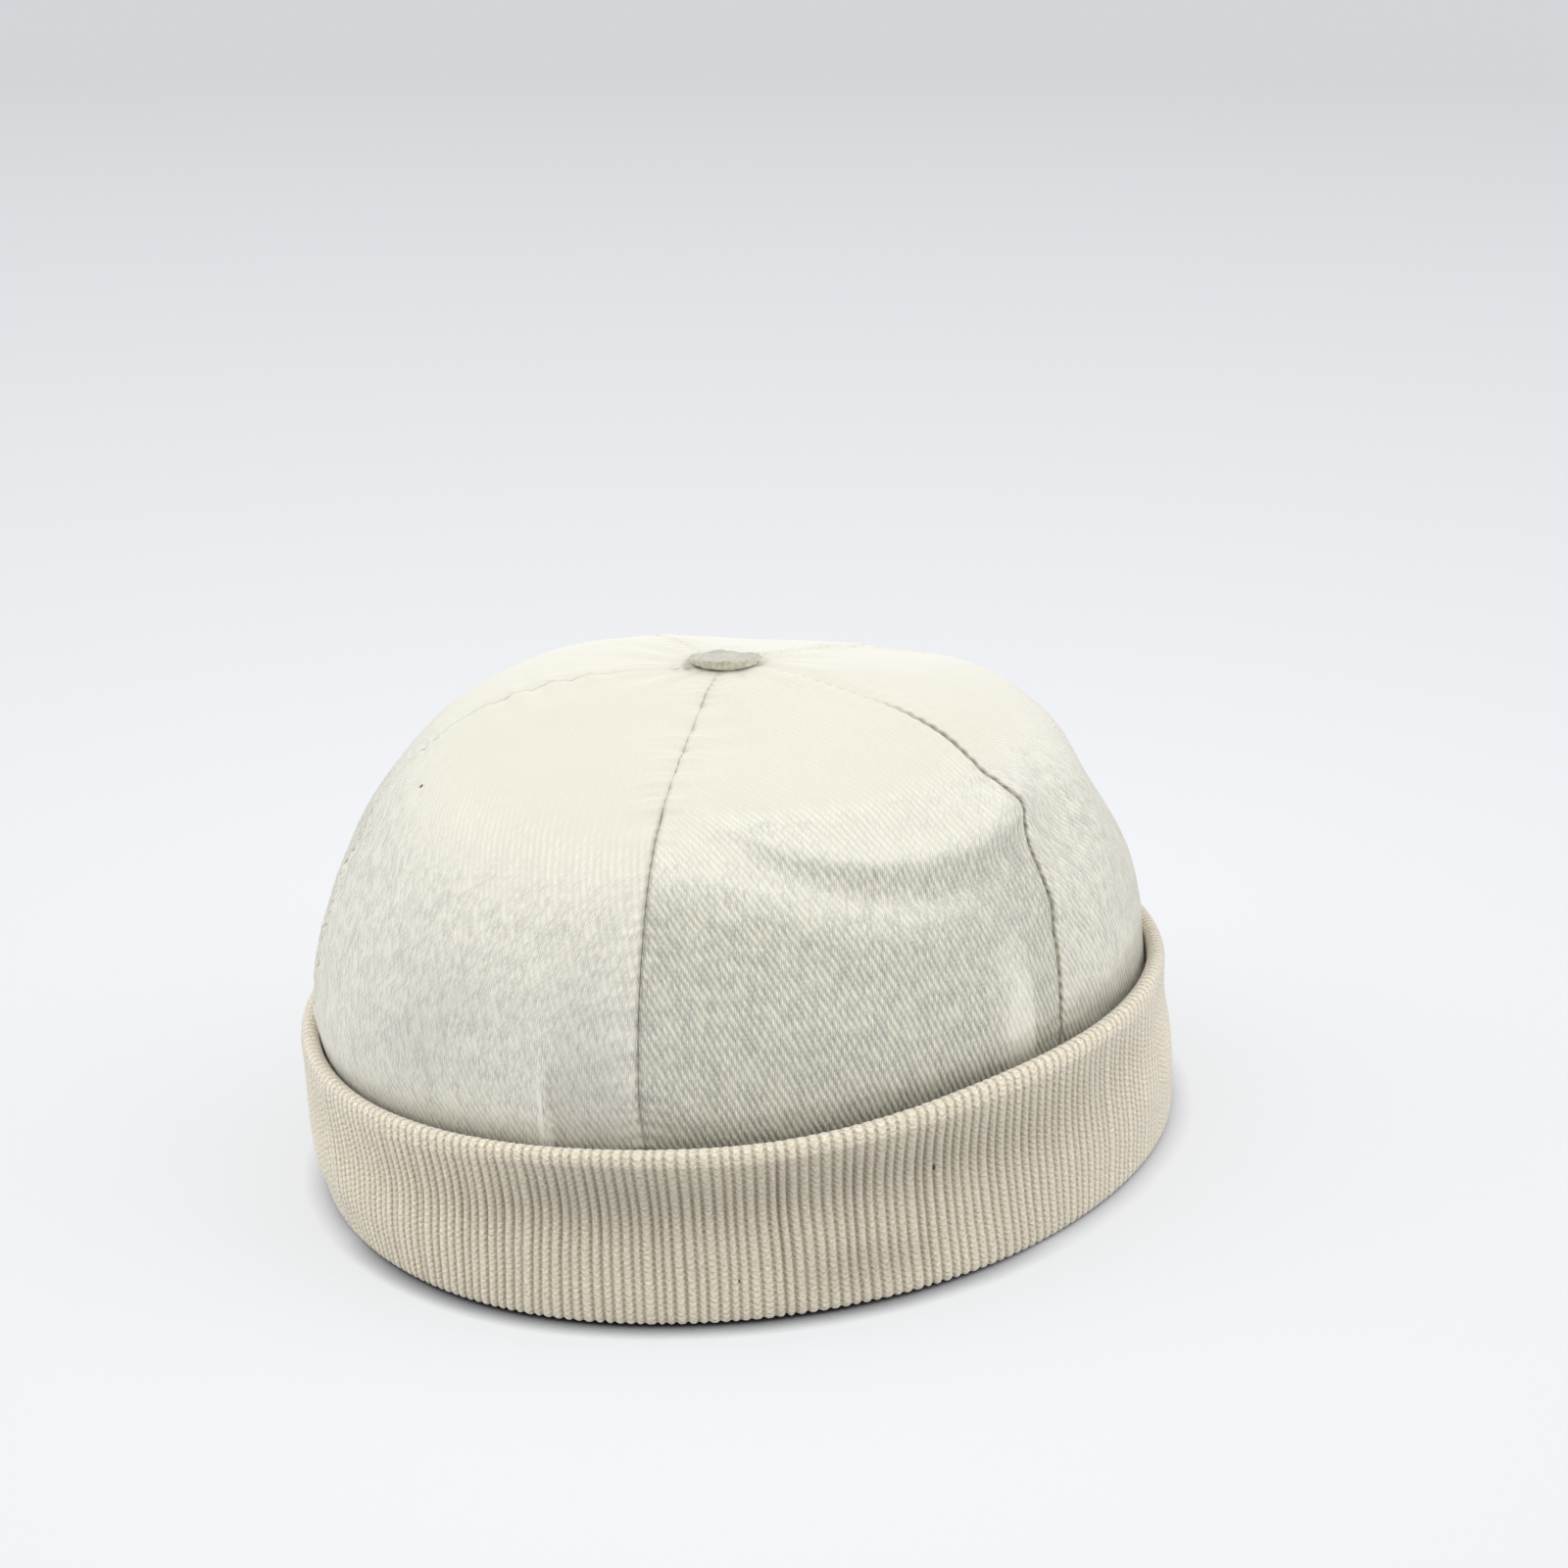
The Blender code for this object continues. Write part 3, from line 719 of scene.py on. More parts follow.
class DOCKER_OT_cuff(bpy.types.Operator):
    """Knit the turned-up cuff with its ribs"""
    bl_idname = "docker.cuff"
    bl_label = "Knit cuff"

    def execute(self, context):
        hat = context.scene.docker_hat
        ribs = hat.cuff.rib_count
        points, places, shares = self.knit_outer_limb(hat.cuff)
        columns = ribs * POINTS_PER_RIB
        band_columns = ribs * BAND_POINTS_PER_RIB
        band_turn = math.tau * np.arange(band_columns) / band_columns
        furrows = np.arange(band_columns) % 2
        band = np.array([cuff_points(band_turn, inset - depth * furrows, np.full(band_columns, height))
                         for inset, height, depth in BAND_SECTION])
        band_places = np.stack(np.broadcast_arrays(np.arange(band_columns) / BAND_POINTS_PER_RIB,
                                                   band[..., 2] / KNIT_COURSE), axis=-1)
        start = CUFF_ROWS * columns
        faces = grid_faces(CUFF_ROWS, columns, closed=True)
        faces += grid_faces(len(band), band_columns, start=start, closed=True)
        last_start = start + (len(band) - 1) * band_columns
        faces += join_rings(range(start - columns, start), range(start, start + band_columns))
        faces += join_rings(range(last_start, last_start + band_columns), range(columns))
        piece = new_piece("cuff_knit", np.concatenate([points.reshape(-1, 3), band.reshape(-1, 3)]), faces)
        set_uv(piece, "ribs", np.concatenate([places.reshape(-1, 2), band_places.reshape(-1, 2)]), ribs)
        for name, share in shares.items():
            set_share(piece, name, share)
        finish_piece(piece, knit_material(hat.colours), "cuff")
        return {"FINISHED"}

    def knit_outer_limb(self, cuff):
        """Points of the ribbed wall, their places in the knit, its painted highlight on the rim and ends,
        and its painted shade.
        """
        ribs = cuff.rib_count
        column = np.arange(ribs * POINTS_PER_RIB)
        random = np.random.default_rng(8)
        rows = curve_rows(CUFF_SECTION, CUFF_ROWS, ROWS_BETWEEN)
        turn = np.tile(math.tau * column / len(column), (CUFF_ROWS, 1))
        inset, height, rim, sink, ribbed = [rows[:, [i]] for i in range(5)]
        inset = np.tile(inset * MM, len(column))
        height = np.maximum(height * MM + rim * rim_height(turn), 0.0)
        base = cuff_points(turn, inset, height)
        # ribs stray a little to the side, and no two are alike
        stray = sum(soft_waves(base, length, seed) * reach for length, seed, reach in RIB_STRAY)
        stray += RIB_STRAY_EACH * random.normal(size=ribs)[column // POINTS_PER_RIB]
        turn = turn + stray * math.tau / ribs
        at = {name: bulge(turn, *place) for name, *place in CUFF_PLACES}
        # the slack wall sinks in at its waist, most on the near side
        on_wall = rim < ROLL_START
        slack = soft_waves(base, 48 * MM, 5)
        inset = inset + sink * cuff.waist * (0.12 + 0.88 * at["near"] + 0.14 * slack)
        inset = inset + slack * WALL_WAVES * smooth(rim, 0.1, 0.3) * on_wall
        # it bulges at the left end, stands higher behind that, and hugs the crown at the right end
        up = np.clip(height / CUFF_HEIGHT, 0.0, 1.0)
        inset = inset - LEFT_END_BULGE * at["left_end"] * np.sin(math.pi * up)
        low = 1.0 - smooth(up, 0.02, 0.30)
        inset = inset + (LOW_LEFT_SINK * at["low_left"] - LOW_NEAR_BULGE * at["low_near"]) * low
        inset = inset + RIGHT_BACK_HUG * at["right_back"] * smooth(up, 0.35, 1.0)
        raised = LEFT_BACK_RISE * at["left_back"] - RIGHT_BACK_DROP * at["right_back"]
        height = height + raised * smooth(up, 0.2, 1.0)
        height = height + soft_waves(base, 60 * MM, 6) * RIM_WAVES * smooth(rim, 0.5, 1.0)
        # grooves between the ribs, cut square to the section
        along_inset = np.gradient(inset, axis=0)
        along_height = np.gradient(height, axis=0)
        length = np.hypot(along_inset, along_height) + 1e-9
        to_gap = np.abs((column / POINTS_PER_RIB + 0.5) % 1.0 - 0.5) * 2.0
        groove = ((column + POINTS_PER_RIB // 2) // POINTS_PER_RIB) % ribs
        uneven = (1.0 + 0.18 * random.normal(size=ribs))[groove] + 0.15 * soft_waves(base, 12 * MM, 7)
        depth = cuff.rib_depth * uneven * ribbed * smooth(to_gap, 0.25, 0.95) * (0.40 + 0.60 * at["near"])
        inset = inset + depth * along_height / length
        height = np.maximum(height - depth * along_inset / length, 0.0)
        points = cuff_points(turn, inset, height)
        climb = np.vstack([np.zeros(len(column)), np.cumsum(length[1:], axis=0)])
        rib = np.tile(column / POINTS_PER_RIB + 0.5, (CUFF_ROWS, 1))
        places = np.stack([rib, climb / KNIT_COURSE], axis=-1)
        # the roll of the rim and both ends of the cuff are painted pale as a highlight
        climbed = height / rim_height(turn)
        rim_and_end_highlight = (0.5 + 1.3 * at["left_end"]) * smooth(climbed, 0.955, 1.0)
        rim_and_end_highlight = np.maximum(rim_and_end_highlight, 0.45 * (1.0 - at["near"]) + 0.55 * at["left_end"])
        # and it is painted in shade, most at its waist on the near side
        knit_painted_shade = np.interp(climbed, *zip(*KNIT_SHADE))
        knit_painted_shade = np.maximum(knit_painted_shade, 0.9 * fold_share(turn, climbed, *SHADE_PLACE))
        knit_painted_shade = knit_painted_shade * at["shaded_front"] * (1.0 + 0.12 * slack) * on_wall
        # the slack share carries the painted shade
        return points, places, {"rim_and_end_highlight": rim_and_end_highlight, "slack": np.clip(knit_painted_shade, 0.0, 1.0)}


# Crown

# Rows and columns of a panel's outside and inside, and how its columns crowd to the seams
PANEL_GRID = (221, 185, 0.5)
INNER_GRID = (41, 25, 0.3)
SEAM_GAP = 0.06 * MM
APEX_HOLE = 2.6 * MM
INNER_DROP = 0.5 * MM

# Waves of the cloth: wavelength, seed and share of the slack
CLOTH_WAVES = ((38.0 * MM, 11, 1.0), (13.0 * MM, 12, 0.16))

# Heights of the cloth's relief: the folds that the button draws in and where they are highest, the
# gathers and the low ridge beside a seam, and how far the cloth hangs over the rim
RAY_HEIGHT = 0.16 * MM
RAY_START = 15.0 * MM
RAY_REACH = 8.0 * MM
GATHER_HEIGHT = 0.30 * MM
GATHER_REACH = 6.0 * MM
RIDGE_HEIGHT = 0.22 * MM
RIDGE_START = 3.0 * MM
RIDGE_REACH = 2.2 * MM
RIM_OVERHANG = 2.0 * MM

# How each seam looks, in the order of SEAMS: how deep it is drawn in low down and near the button,
# how wide its dark line of thread, dust and painted shade is on either side in millimetres, how dark
# that is at both places, and the level between the two
SEAM_LOOKS = (
    # depth_low  depth_high  width  dark_low  dark_high  change
    (0.15,       0.30,       0.85,  0.00,     0.12,      0.58),
    (0.60,       0.08,       0.75,  0.50,     0.07,      0.58),
    (1.20,       0.20,       0.78,  0.92,     0.00,      0.67),
    (0.80,       0.25,       0.50,  0.40,     0.00,      0.70),
    (0.80,       0.25,       0.50,  0.40,     0.00,      0.70),
)

# Share of the twill's ribs that nap and painted light hide, in the order of PANEL_NAMES, and inside; where
# the shares run high the top is also painted greyer as shade
PANEL_NAP_AND_PAINTED_LIGHT = (0.48, 0.0, 0.36, 0.20, 0.30)
INNER_NAP_AND_PAINTED_LIGHT = 0.3

# Where the roof of the dent is rubbed and washed out by painted light: turn and half_turn in degrees, level
# of its lower edge there, how that slants and curls, and how much nap and painted light hide
ROOF_NAP_AND_PAINTED_LIGHT = (78.0, 30.0, 0.397, -0.033, 0.060, 0.72)

# Shade low down behind the rim: strength, and heights over the rim where it starts to go and ends
RIM_SHADES = (
    # strength  start      end
    (0.55,      -1.6 * MM, 0.0),
    (0.42,      -1.0 * MM, 5.0 * MM),
)

# Small folds over the frame's surface, in the form of FOLDS, with their height in millimetres
FINE_FOLDS = (
    # name               turn   level  half_turn  half_level  slant   curl   height
    ("crease_line",      77.0,  0.374, 22.0,      0.010,     -0.033,  0.062, -0.8),
    ("crease_fill",      77.0,  0.376, 24.0,      0.032,     -0.033,  0.062,  0.9),
    ("roof_edge",        78.0,  0.424, 27.0,      0.029,     -0.033,  0.060,  2.4),
    ("belly_top",        75.0,  0.330, 22.0,      0.026,     -0.033,  0.060,  0.9),
    ("roof_corner",     101.0,  0.440, 10.0,      0.040,      0.0,    0.0,    2.5),
    ("corner_below",    103.0,  0.250, 12.0,      0.070,      0.0,    0.0,   -0.8),
    ("corner_above",    106.0,  0.530, 12.0,      0.050,      0.0,    0.0,   -0.8),
    ("behind_corner",   112.0,  0.385, 10.0,      0.045,      0.0,    0.0,   -1.8),
    ("right_hollow",    147.0,  0.360, 14.0,      0.060,      0.0,    0.0,   -1.6),
    ("front_belly",     -10.0,  0.198, 14.0,      0.050,      0.020,  0.0,    0.9),
    ("front_hollow",     12.0,  0.300, 16.0,      0.060,     -0.020,  0.0,   -0.6),
    ("left_foot",       -48.0,  0.135, 26.0,      0.080,      0.0,    0.0,    2.1),
)

# Creases that run down the cloth, from a turn and level near the top to those near the foot: the
# height of the crest in millimetres, how far the cloth takes to fall away on its left and right, how
# wide the crest is rubbed smooth on the left, how bright its painted highlight is, and how deep the right's
# painted shade is
CREASES = (
    # name            top           foot          height  left  right  wide  highlight  shade
    ("front_pleat",    25.5, 0.280,  25.5, 0.050,  1.9,    6.0,  0.8,   1.5,  1.70, 0.10),
    ("side_pleat",     93.5, 0.330,  92.0, 0.080,  1.5,   12.0,  0.5,   7.0,  0.00, 0.14),
    ("front_diagonal",  0.0, 0.290,   8.0, 0.165,  0.6,    3.0,  1.0,   1.4,  0.20, 0.04),
)
SHADE_REACH = 5.0

# Where the cloth is greyer in patches, in the form of FOLDS, with its strength
GREY_PATCHES = (
    # name               turn   level  half_turn  half_level  strength
    ("front_left",        6.0,   0.250, 15.0,      0.090,      0.20),
    ("front_right",      31.0,   0.230,  6.0,      0.090,      0.38),
)


def fine_folds(turn, level):
    """Height of the crown's small folds over the frame's surface, on both sides of the cloth."""
    # on the near side it hangs over above the rim, so it stands in below that
    height = -RIM_OVERHANG * (1.0 - smooth(level, 0.13, 0.25)) * bulge(turn, 60.0, 55.0, 4)
    for _, *fold, high in FINE_FOLDS:
        height += high * MM * fold_share(turn, level, *fold)
    return height


def creases(turn, level, base):
    """Height of the creases that run down the cloth, where it is rubbed smooth, its painted highlight on
    the crest and its painted shade on the right.
    """
    height, crest_rub_and_highlight, crest_painted_highlight, shaded = np.zeros((4, *turn.shape))
    radius = np.hypot(base[..., 0], base[..., 1])
    for _, turn_top, level_top, turn_foot, level_foot, high, left, right, wide, highlight, shade in CREASES:
        down = (level_top - level) / (level_top - level_foot)
        across = np.radians(turned(turn, 0.0) - turn_top - (turn_foot - turn_top) * down) * radius / MM
        left_side = np.exp(np.minimum(across, 0.0) / left)
        step = np.where(across < 0, left_side, np.exp(-(across / right) ** 2))
        present = smooth(down, 0.0, 0.5) * (1.0 - smooth(down, 0.85, 1.2))
        height += high * MM * step * present
        # the crest is rubbed smooth and painted pale as a highlight, and the cloth right of it is painted
        # in shade
        crest = present * np.exp(-((across + wide / 2) / (0.6 * wide)) ** 2)
        crest_rub_and_highlight = np.maximum(crest_rub_and_highlight, min(0.9, 0.7 + 0.2 * highlight) * crest)
        crest_painted_highlight = np.maximum(crest_painted_highlight, highlight * crest)
        beyond = across - right * 0.5
        shadow = np.where(beyond > 0.0, np.exp(-np.maximum(beyond, 0.0) / SHADE_REACH), 0.0)
        shaded = np.maximum(shaded, present * shade * shadow)
    return height, crest_rub_and_highlight, crest_painted_highlight, shaded


class DOCKER_OT_crown(bpy.types.Operator):
    """Cut and sew the crown's panels"""
    bl_idname = "docker.crown"
    bl_label = "Sew panels"

    def execute(self, context):
        hat = context.scene.docker_hat
        colours = hat.colours
        material = twill_material("cotton_twill_garment_washed", colours.twill_ridge, colours.twill_furrow)
        for index, name in enumerate(PANEL_NAMES):
            self.sew_panel(hat.crown, index, name, material)
        return {"FINISHED"}

    def laid_grid(self, index, rows, columns, crowd):
        """Turns, levels and shares across of a panel's grid, its width there and the way climbed.
        Rows are evenly spaced along the cloth."""
        top_level = WALL_SHARE + (1.0 - WALL_SHARE) * (1.0 - APEX_HOLE / (HAT_WIDTH / 2))
        fine_level = np.linspace(0.0, top_level, 600)
        middle = (seam_turn(index, fine_level) + seam_turn(index + 1, fine_level)) / 2
        climbed = lengths_along(crown_surface(middle, fine_level))
        rise = np.linspace(0.0, climbed[-1], rows)
        level = np.tile(np.interp(rise, climbed, fine_level)[:, None], (1, columns))
        share = np.linspace(0.0, 1.0, columns)
        share = np.tile(share - crowd * np.sin(math.tau * share) / math.tau, (rows, 1))
        first = seam_turn(index, level)
        second = seam_turn(index + 1, level)
        # the width as it runs on from both edges
        part = 0.02
        left = crown_surface(first * (1.0 - part) + second * part, level) - crown_surface(first, level)
        right = crown_surface(second, level) - crown_surface(first * part + second * (1.0 - part), level)
        width = (np.linalg.norm(left, axis=-1) + np.linalg.norm(right, axis=-1)) / part / 2
        gap = SEAM_GAP / 2 / width
        share = gap + share * (1.0 - 2.0 * gap)
        return first + (second - first) * share, level, share, width, np.tile(rise[:, None], (1, columns))

    def seam_length(self, index, level):
        """Length along a seam from the lower edge to each level."""
        fine_level = np.linspace(0.0, 1.0, 800)
        line = crown_surface(seam_turn(index, fine_level), fine_level)
        return np.interp(level, fine_level, lengths_along(line))

    def draped(self, crown, turn, level, base, free):
        """Height of the cloth as it hangs: slow waves, small folds and those the button draws in."""
        waves = sum(soft_waves(base, length, seed) * share for length, seed, share in CLOTH_WAVES)
        height = waves * crown.slack * free + fine_folds(turn, level)
        from_top = np.hypot(base[..., 0] - base[-1, :, 0].mean(), base[..., 1] - base[-1, :, 1].mean())
        rays = np.cos(11 * turn + 0.6) + np.cos(17 * turn + 2.0)
        return height + RAY_HEIGHT * rays * np.exp(-((from_top - RAY_START) / RAY_REACH) ** 2)

    def sewn(self, crown, level, base, to_seam, stitch, drawn_in, free):
        """Height of the cloth at the seams: it turns in, and the thread draws puckers and gathers."""
        uneven = np.clip(0.75 + 0.45 * soft_waves(base, 17 * MM, 13), 0.1, 1.8)
        lifted = np.cos(math.tau * (stitch + (to_seam / (11 * MM)) ** 2))
        height = crown.pucker * lifted * uneven * np.exp(-to_seam / ((2.6 + 1.8 * uneven) * MM))
        gathers = np.cos(math.tau * stitch / 3.4 + 5.0 * soft_waves(base, 60 * MM, 14))
        gathers = gathers * np.clip(soft_waves(base, 24 * MM, 15) + 0.3, 0.0, 1.3)
        height += GATHER_HEIGHT * gathers * np.exp(-to_seam / GATHER_REACH) * free
        shallow = 1.0 - 0.6 * smooth(level, 0.75, 0.95)
        beat = np.cos(math.tau * stitch)
        roll = crown.seam_roll * drawn_in * (1.0 + 0.45 * beat * uneven) * shallow
        inwards = np.clip(1.0 - to_seam / roll, 0.0, 1.0)
        height -= roll * (1.0 - np.sqrt(np.maximum(1.0 - inwards ** 2, 0.0)))
        return height + RIDGE_HEIGHT * np.exp(-((to_seam - RIDGE_START) / RIDGE_REACH) ** 2) * free

    def sew_panel(self, crown, index, name, material):
        """One panel: its outside with all relief, a plain inside, and what the material reads."""
        turn, level, share, width, rise = self.laid_grid(index, *PANEL_GRID)
        base = crown_surface(turn, level)
        normals = surface_normals(base)
        to_seam = np.minimum(share, 1.0 - share) * width
        stitches = [self.seam_length(index + side, level[:, 0]) / crown.stitch for side in (0, 1)]
        stitch = np.where(share < 0.5, stitches[0][:, None], stitches[1][:, None])
        both_seams = zip(SEAM_LOOKS[index], SEAM_LOOKS[(index + 1) % len(SEAMS)])
        low, high, line_width, dark_low, dark_high, change = [
            np.where(share < 0.5, here, there) for here, there in both_seams]
        high_up = smooth(level, change - 0.08, change + 0.08)
        drawn_in = low + (high - low) * high_up
        dark = dark_low + (dark_high - dark_low) * high_up
        creased, crest_rub_and_highlight, crest_painted_highlight, shade = creases(turn, level, base)
        free = smooth(level, 0.03, 0.22)
        height = self.draped(crown, turn, level, base, free) + creased
        height += self.sewn(crown, level, base, to_seam, stitch, drawn_in, free)
        points = base + normals * height[..., None]

        inner_turn, inner_level, inner_share, inner_width, inner_rise = self.laid_grid(index, *INNER_GRID)
        inner = crown_surface(inner_turn, inner_level)
        sunk = CLOTH + INNER_DROP - fine_folds(inner_turn, inner_level)
        inner = inner - surface_normals(inner) * sunk[..., None]
        rows_columns = PANEL_GRID[:2]
        inner_rows_columns = INNER_GRID[:2]
        faces = grid_faces(*rows_columns)
        faces += [face[::-1] for face in grid_faces(*inner_rows_columns, start=share.size)]
        faces += join_rings(grid_border(*inner_rows_columns, start=share.size), grid_border(*rows_columns))
        all_points = np.concatenate([points.reshape(-1, 3), inner.reshape(-1, 3)])
        piece = new_piece("crown_" + name + "_twill", all_points, faces)
        places = np.stack([(share - 0.5) * width, rise], axis=-1).reshape(-1, 2)
        inner_places = np.stack([(inner_share - 0.5) * inner_width, inner_rise], axis=-1).reshape(-1, 2)
        set_uv(piece, "cut", np.concatenate([places, inner_places]))

        # nap, and painted light that washes the ribs out, hide them where the cloth faces up, on the roof
        # of the dent and on creases, and more on some panels than on others; the material paints these
        # places greyer as shade
        nap_and_painted_light = 0.97 * smooth(normals[..., 2], 0.52, 0.93)
        nap_and_painted_light = 1.0 - (1.0 - nap_and_painted_light) * (1.0 - PANEL_NAP_AND_PAINTED_LIGHT[index])
        nap_and_painted_light = np.maximum(nap_and_painted_light, crest_rub_and_highlight)
        roof_turn, half_turn, roof_level, slant, curl, hidden = ROOF_NAP_AND_PAINTED_LIGHT
        across = turned(turn, roof_turn) / half_turn
        over_foot = level - (roof_level + slant * across + curl * across ** 2)
        nap_and_painted_light = np.maximum(nap_and_painted_light, hidden * smooth(over_foot, 0.0, 0.05) * np.exp(-across ** 4))
        grey_patch = sum(strength * fold_share(turn, level, *fold) for _, *fold, strength in GREY_PATCHES)
        grey_patch = grey_patch * (1.0 + 0.35 * soft_waves(base, 22 * MM, 19))
        # dust and painted shade lie in the seams, and painted shade on the right of creases and low down
        # behind the rim
        seam_dust_and_painted_shade = np.exp(-(to_seam / (line_width * MM)) ** 4) * dark
        seam_dust_and_painted_shade = seam_dust_and_painted_shade * (0.80 + 0.20 * np.cos(math.tau * stitch))
        over_rim = points[..., 2] - rim_height(turn) + 0.5 * MM * soft_waves(base, 16 * MM, 18)
        for strength, start, end in RIM_SHADES:
            seam_dust_and_painted_shade = np.maximum(seam_dust_and_painted_shade, strength * (1.0 - smooth(over_rim, start, end)))
        seam_dust_and_painted_shade = np.maximum(seam_dust_and_painted_shade, shade)
        set_share(piece, "crest_rub_and_highlight", crest_painted_highlight)
        set_share(piece, "grey_patch", np.clip(grey_patch, 0.0, 1.0))
        set_share(piece, "nap_and_painted_light", nap_and_painted_light, INNER_NAP_AND_PAINTED_LIGHT)
        set_share(piece, "seam_dust_and_painted_shade", np.clip(seam_dust_and_painted_shade, 0.0, 1.0))
        finish_piece(piece, material, "crown_panel_" + name)


# Cotton seed husks caught in the cloth: piece, turn, height over the table and size in millimetres
FLECKS = (
    # piece                turn    height  size
    ("cuff_knit",          69.0,   25.2,   0.95),
    ("cuff_knit",          42.2,    9.0,   0.60),
    ("crown_front_twill", -16.3,   93.0,   0.75),
)


class DOCKER_OT_flecks(bpy.types.Operator):
    """Put the seed husks in the cloth"""
    bl_idname = "docker.flecks"
    bl_label = "Seed flecks"

    def execute(self, context):
        random = np.random.default_rng(31)
        husks = []
        for skin_name, turn, high, size in FLECKS:
            skin = bpy.data.objects[skin_name]
            outwards = line_out(math.radians(turn), 0.0)
            start = outwards * HAT_LENGTH + Vector((0.0, 0.0, high * MM))
            found, place, normal, _ = skin.ray_cast(start, -outwards)
            if not found:
                raise RuntimeError("no cloth for a fleck at " + str(turn))
            bpy.ops.object.select_all(action="DESELECT")
            bpy.ops.mesh.primitive_ico_sphere_add(subdivisions=2, radius=size * MM / 2)
            husk = context.object
            stretch = Matrix.Diagonal((0.7 + 0.3 * random.random(), 1.3, 0.45, 1.0))
            upright = normal.to_track_quat("Z", "Y").to_matrix().to_4x4()
            husk.data.transform(Matrix.Translation(place) @ upright @ stretch)
            husks.append(husk)
        select_only(*husks)
        bpy.ops.object.join()
        piece = context.object
        piece.name = "seed_flecks"
        # dry husk, broken by ginning: small, matt and brown
        material, tree, shader = new_material("cotton_seed_husk")
        feed(tree, shader, {"Base Color": linear(HUSK_BROWN), "Roughness": 0.8})
        finish_piece(piece, material)
        return {"FINISHED"}


class DOCKER_OT_button(bpy.types.Operator):
    """Cover the button on the apex"""
    bl_idname = "docker.button"
    bl_label = "Cover button"

    def execute(self, context):
        colours = context.scene.docker_hat.colours
        radius = BUTTON_DIAMETER / 2
        tilt = math.radians(BUTTON_TILT)
        downhill = math.radians(BUTTON_TILT_TURN)
        bpy.ops.object.select_all(action="DESELECT")
        bpy.ops.mesh.primitive_uv_sphere_add(segments=96, ring_count=48, radius=radius)
        piece = context.object
        piece.name = "top_button_cloth"
        co = np.zeros(len(piece.data.vertices) * 3)
        piece.data.vertices.foreach_get("co", co)
        co = co.reshape(-1, 3)
        unit = co / radius
        turn = np.arctan2(unit[:, 1], unit[:, 0])
        reach = np.hypot(unit[:, 0], unit[:, 1])
        # the ball is pressed flat, with a ragged edge that curls up at one side and is pinched at another
        flat = np.sign(unit[:, 2]) * np.abs(unit[:, 2]) ** 0.7
        ragged = soft_waves(unit * radius, 4.5 * MM, 21) * smooth(reach, 0.45, 1.0)
        curl = bulge(turn, 62.0, 26.0) * smooth(reach, 0.5, 1.0)
        pinch = bulge(turn, 215.0, 22.0) * smooth(reach, 0.55, 1.0)
        z = (flat * 0.5 + 0.5) * BUTTON_HEIGHT * (0.82 + 0.16 * ragged - 0.40 * pinch)
        z = z + BUTTON_CURL * curl + BUTTON_ROUGHNESS * ragged
        # its underside stays down on the cloth where the top is tipped up
        tipped_up = (co[:, 1] * math.cos(downhill) - co[:, 0] * math.sin(downhill)) * math.sin(tilt)
        z = z - tipped_up * np.clip(-2.0 * flat, 0.0, 1.0)
        spread = 1.0 + 0.05 * ragged + 0.05 * pinch
        co = np.stack([co[:, 0] * spread, co[:, 1] * spread, z], axis=-1)
        piece.data.vertices.foreach_set("co", co.ravel())
        seat = Vector(crown_surface(np.array(0.0), np.array(1.0)))
        seat.z += 0.45 * radius * math.sin(tilt) + FIT_GAP
        axis = Vector((math.cos(downhill), math.sin(downhill), 0.0))
        piece.data.transform(Matrix.Translation(seat) @ Matrix.Rotation(tilt, 4, axis))
        piece.data.update()
        set_uv(piece, "cut", co[:, :2])
        set_share(piece, "nap_and_painted_light", np.full(len(co), BUTTON_NAP_AND_PAINTED_LIGHT))
        material = twill_material("cotton_twill_button_cover", colours.button_ridge, colours.button_furrow)
        finish_piece(piece, material, "top_button")
        return {"FINISHED"}


# Soft lights of the tent: where each is, as a turn from the front towards +X and a height, both in
# degrees, how tightly it gathers there, its strength and its colour. Gather 0 is even all round.
TENT_LIGHTS = (
    # name            turn    height  gather  strength  colour
    ("walls",           0.0,    0.0,  0.0,    0.37,     "#FDFDFF"),
    ("roof",            0.0,   90.0,  2.0,    0.10,     "#FDFDFF"),
    ("left_wall",     -46.0,   15.0,  2.0,    0.76,     "#F9FBFF"),
    ("left_box",      -46.0,   30.0,  8.0,    0.66,     "#F9FBFF"),
    ("right_wall",    134.0,   15.0,  2.0,    0.68,     "#FDFDFF"),
    ("right_box",     134.0,   30.0,  8.0,    0.56,     "#FDFDFF"),
    ("rear_wall",     224.0,   20.0,  2.0,    0.22,     "#FDFDFF"),
    ("rear_left",     -91.0,   35.0,  4.0,    0.13,     "#FDFDFF"),
    ("rear_right",    179.0,   35.0,  4.0,    0.18,     "#FDFDFF"),
    ("front_left",    -10.0,   15.0,  2.0,    0.46,     "#FDFDFF"),
    ("front_right",    98.0,   15.0,  2.0,    0.58,     "#FDFDFF"),
)

TABLE_SIZE = 12.0

# How the camera is turned and tipped from where it looks at the foot, to frame the hat
CAMERA_TURN_RIGHT = math.radians(0.435)
CAMERA_TIP_UP = math.radians(6.21)


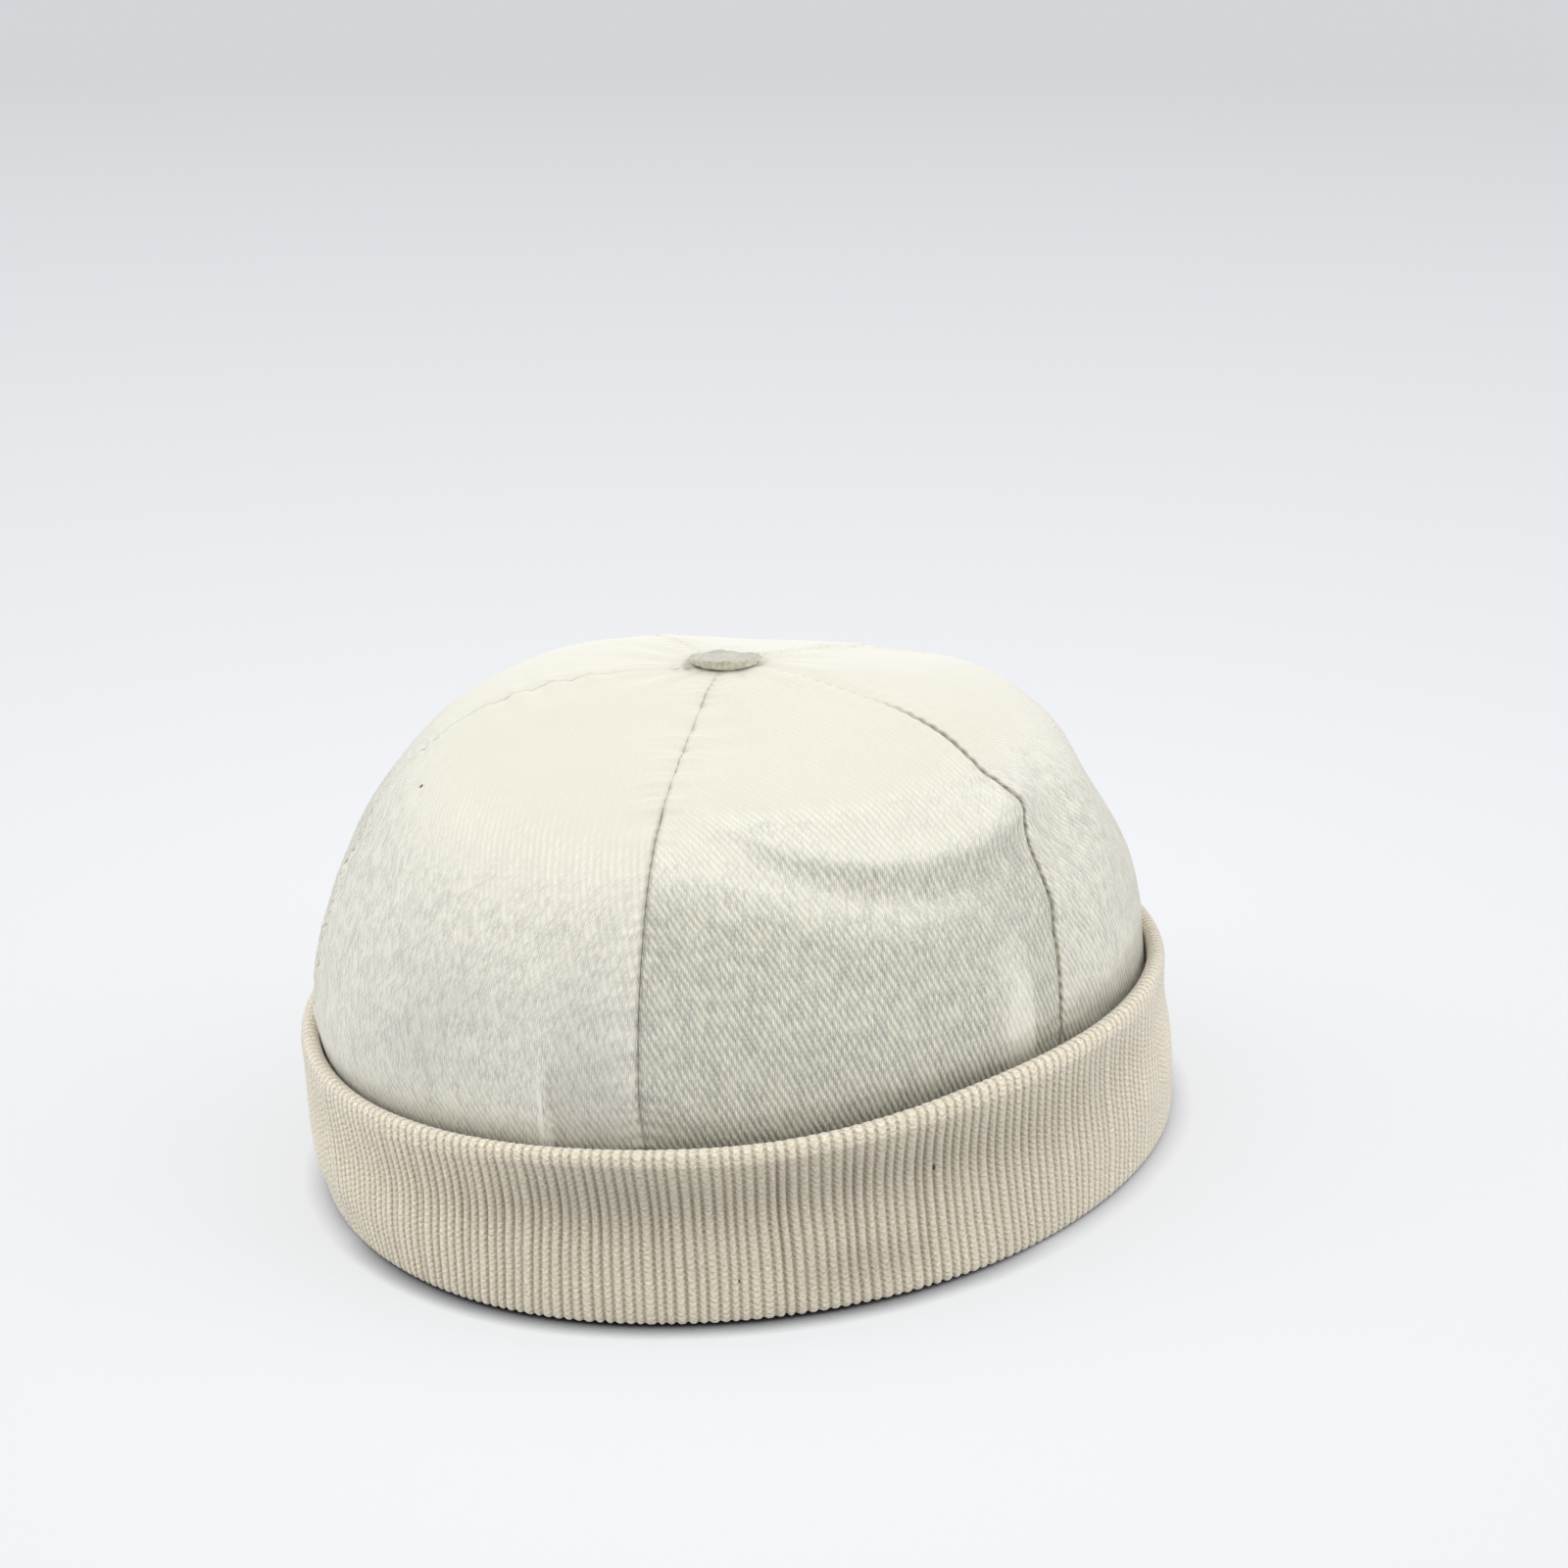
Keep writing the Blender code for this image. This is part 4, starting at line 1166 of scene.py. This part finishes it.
class DOCKER_OT_stage(bpy.types.Operator):
    """Set the table top, the tent of light and the camera"""
    bl_idname = "docker.stage"
    bl_label = "Set stage"

    def execute(self, context):
        hat = context.scene.docker_hat
        bpy.ops.object.select_all(action="DESELECT")
        bpy.ops.mesh.primitive_plane_add(size=TABLE_SIZE)
        floor = context.object
        floor.name = "table_top_painted_glow"
        floor.data.materials.append(table_material(hat.colours))
        self.raise_tent(context, hat.stage.light)
        self.place_camera(context, hat.stage)
        return {"FINISHED"}

    def raise_tent(self, context, brightness):
        """A tent of soft light, made of the lights in TENT_LIGHTS."""
        world = bpy.data.worlds.new("light_tent")
        context.scene.world = world
        world.use_nodes = True
        tree = world.node_tree
        sky = add(tree, "TexCoord")
        total = None
        for _, turn, height, gather, strength, colour in TENT_LIGHTS:
            if gather:
                towards = line_out(math.radians(turn), math.radians(height))
                facing = add(tree, "VectorMath", (sky.outputs["Generated"], towards), "DOT_PRODUCT")
                lit = add(tree, "Math", (facing.outputs["Value"], 0.0), "MAXIMUM")
                gathered = add(tree, "Math", (lit, gather), "POWER")
                strength = add(tree, "Math", (gathered, strength), "MULTIPLY")
            light = add(tree, "VectorMath", {0: linear(colour)[:3], "Scale": strength}, "SCALE")
            total = add(tree, "VectorMath", (total, light), "ADD") if total else light
        feed(tree, tree.nodes["Background"], {"Color": total, "Strength": brightness})
        context.scene.view_settings.view_transform = "Standard"

    def place_camera(self, context, stage):
        """A camera in front of the hat, at its turn and height."""
        camera = bpy.data.cameras.new("camera")
        camera.lens = stage.lens
        camera.sensor_width = 36.0
        thing = bpy.data.objects.new("camera", camera)
        foot = Vector((-0.5 * RIM_LEAN[0], -0.5 * RIM_LEAN[1], 0.0))
        towards = line_out(stage.azimuth, stage.elevation)
        aim = (-towards).to_track_quat("-Z", "Y").to_matrix().to_4x4()
        aim = aim @ Matrix.Rotation(-CAMERA_TURN_RIGHT, 4, "Y") @ Matrix.Rotation(CAMERA_TIP_UP, 4, "X")
        thing.matrix_world = Matrix.Translation(foot + towards * stage.distance) @ aim
        context.scene.collection.objects.link(thing)
        context.scene.camera = thing


class DOCKER_PT_panel(bpy.types.Panel):
    """Settings and steps of the hat"""
    bl_idname = "DOCKER_PT_panel"
    bl_label = "Docker hat"
    bl_space_type = "VIEW_3D"
    bl_region_type = "UI"
    bl_category = "Docker hat"

    def draw(self, context):
        hat = context.scene.docker_hat
        for group in (hat.cuff, hat.crown, hat.colours, hat.stage):
            box = self.layout.box()
            for key in group.bl_rna.properties.keys():
                if key not in ("rna_type", "name"):
                    box.prop(group, key)
        for operator in OPERATORS:
            self.layout.operator(operator.bl_idname)


OPERATORS = (DOCKER_OT_cuff, DOCKER_OT_crown, DOCKER_OT_flecks, DOCKER_OT_button, DOCKER_OT_stage)
CLASSES = (CuffSettings, CrownSettings, ClothColours, StageSettings, HatSettings, *OPERATORS,
           DOCKER_PT_panel)


def register():
    for each in CLASSES:
        bpy.utils.register_class(each)
    bpy.types.Scene.docker_hat = PointerProperty(type=HatSettings)


def unregister():
    del bpy.types.Scene.docker_hat
    for each in reversed(CLASSES):
        bpy.utils.unregister_class(each)


def main():
    register()
    bpy.ops.docker.cuff()
    bpy.ops.docker.crown()
    bpy.ops.docker.flecks()
    bpy.ops.docker.button()
    bpy.ops.docker.stage()


if __name__ == "__main__":
    main()
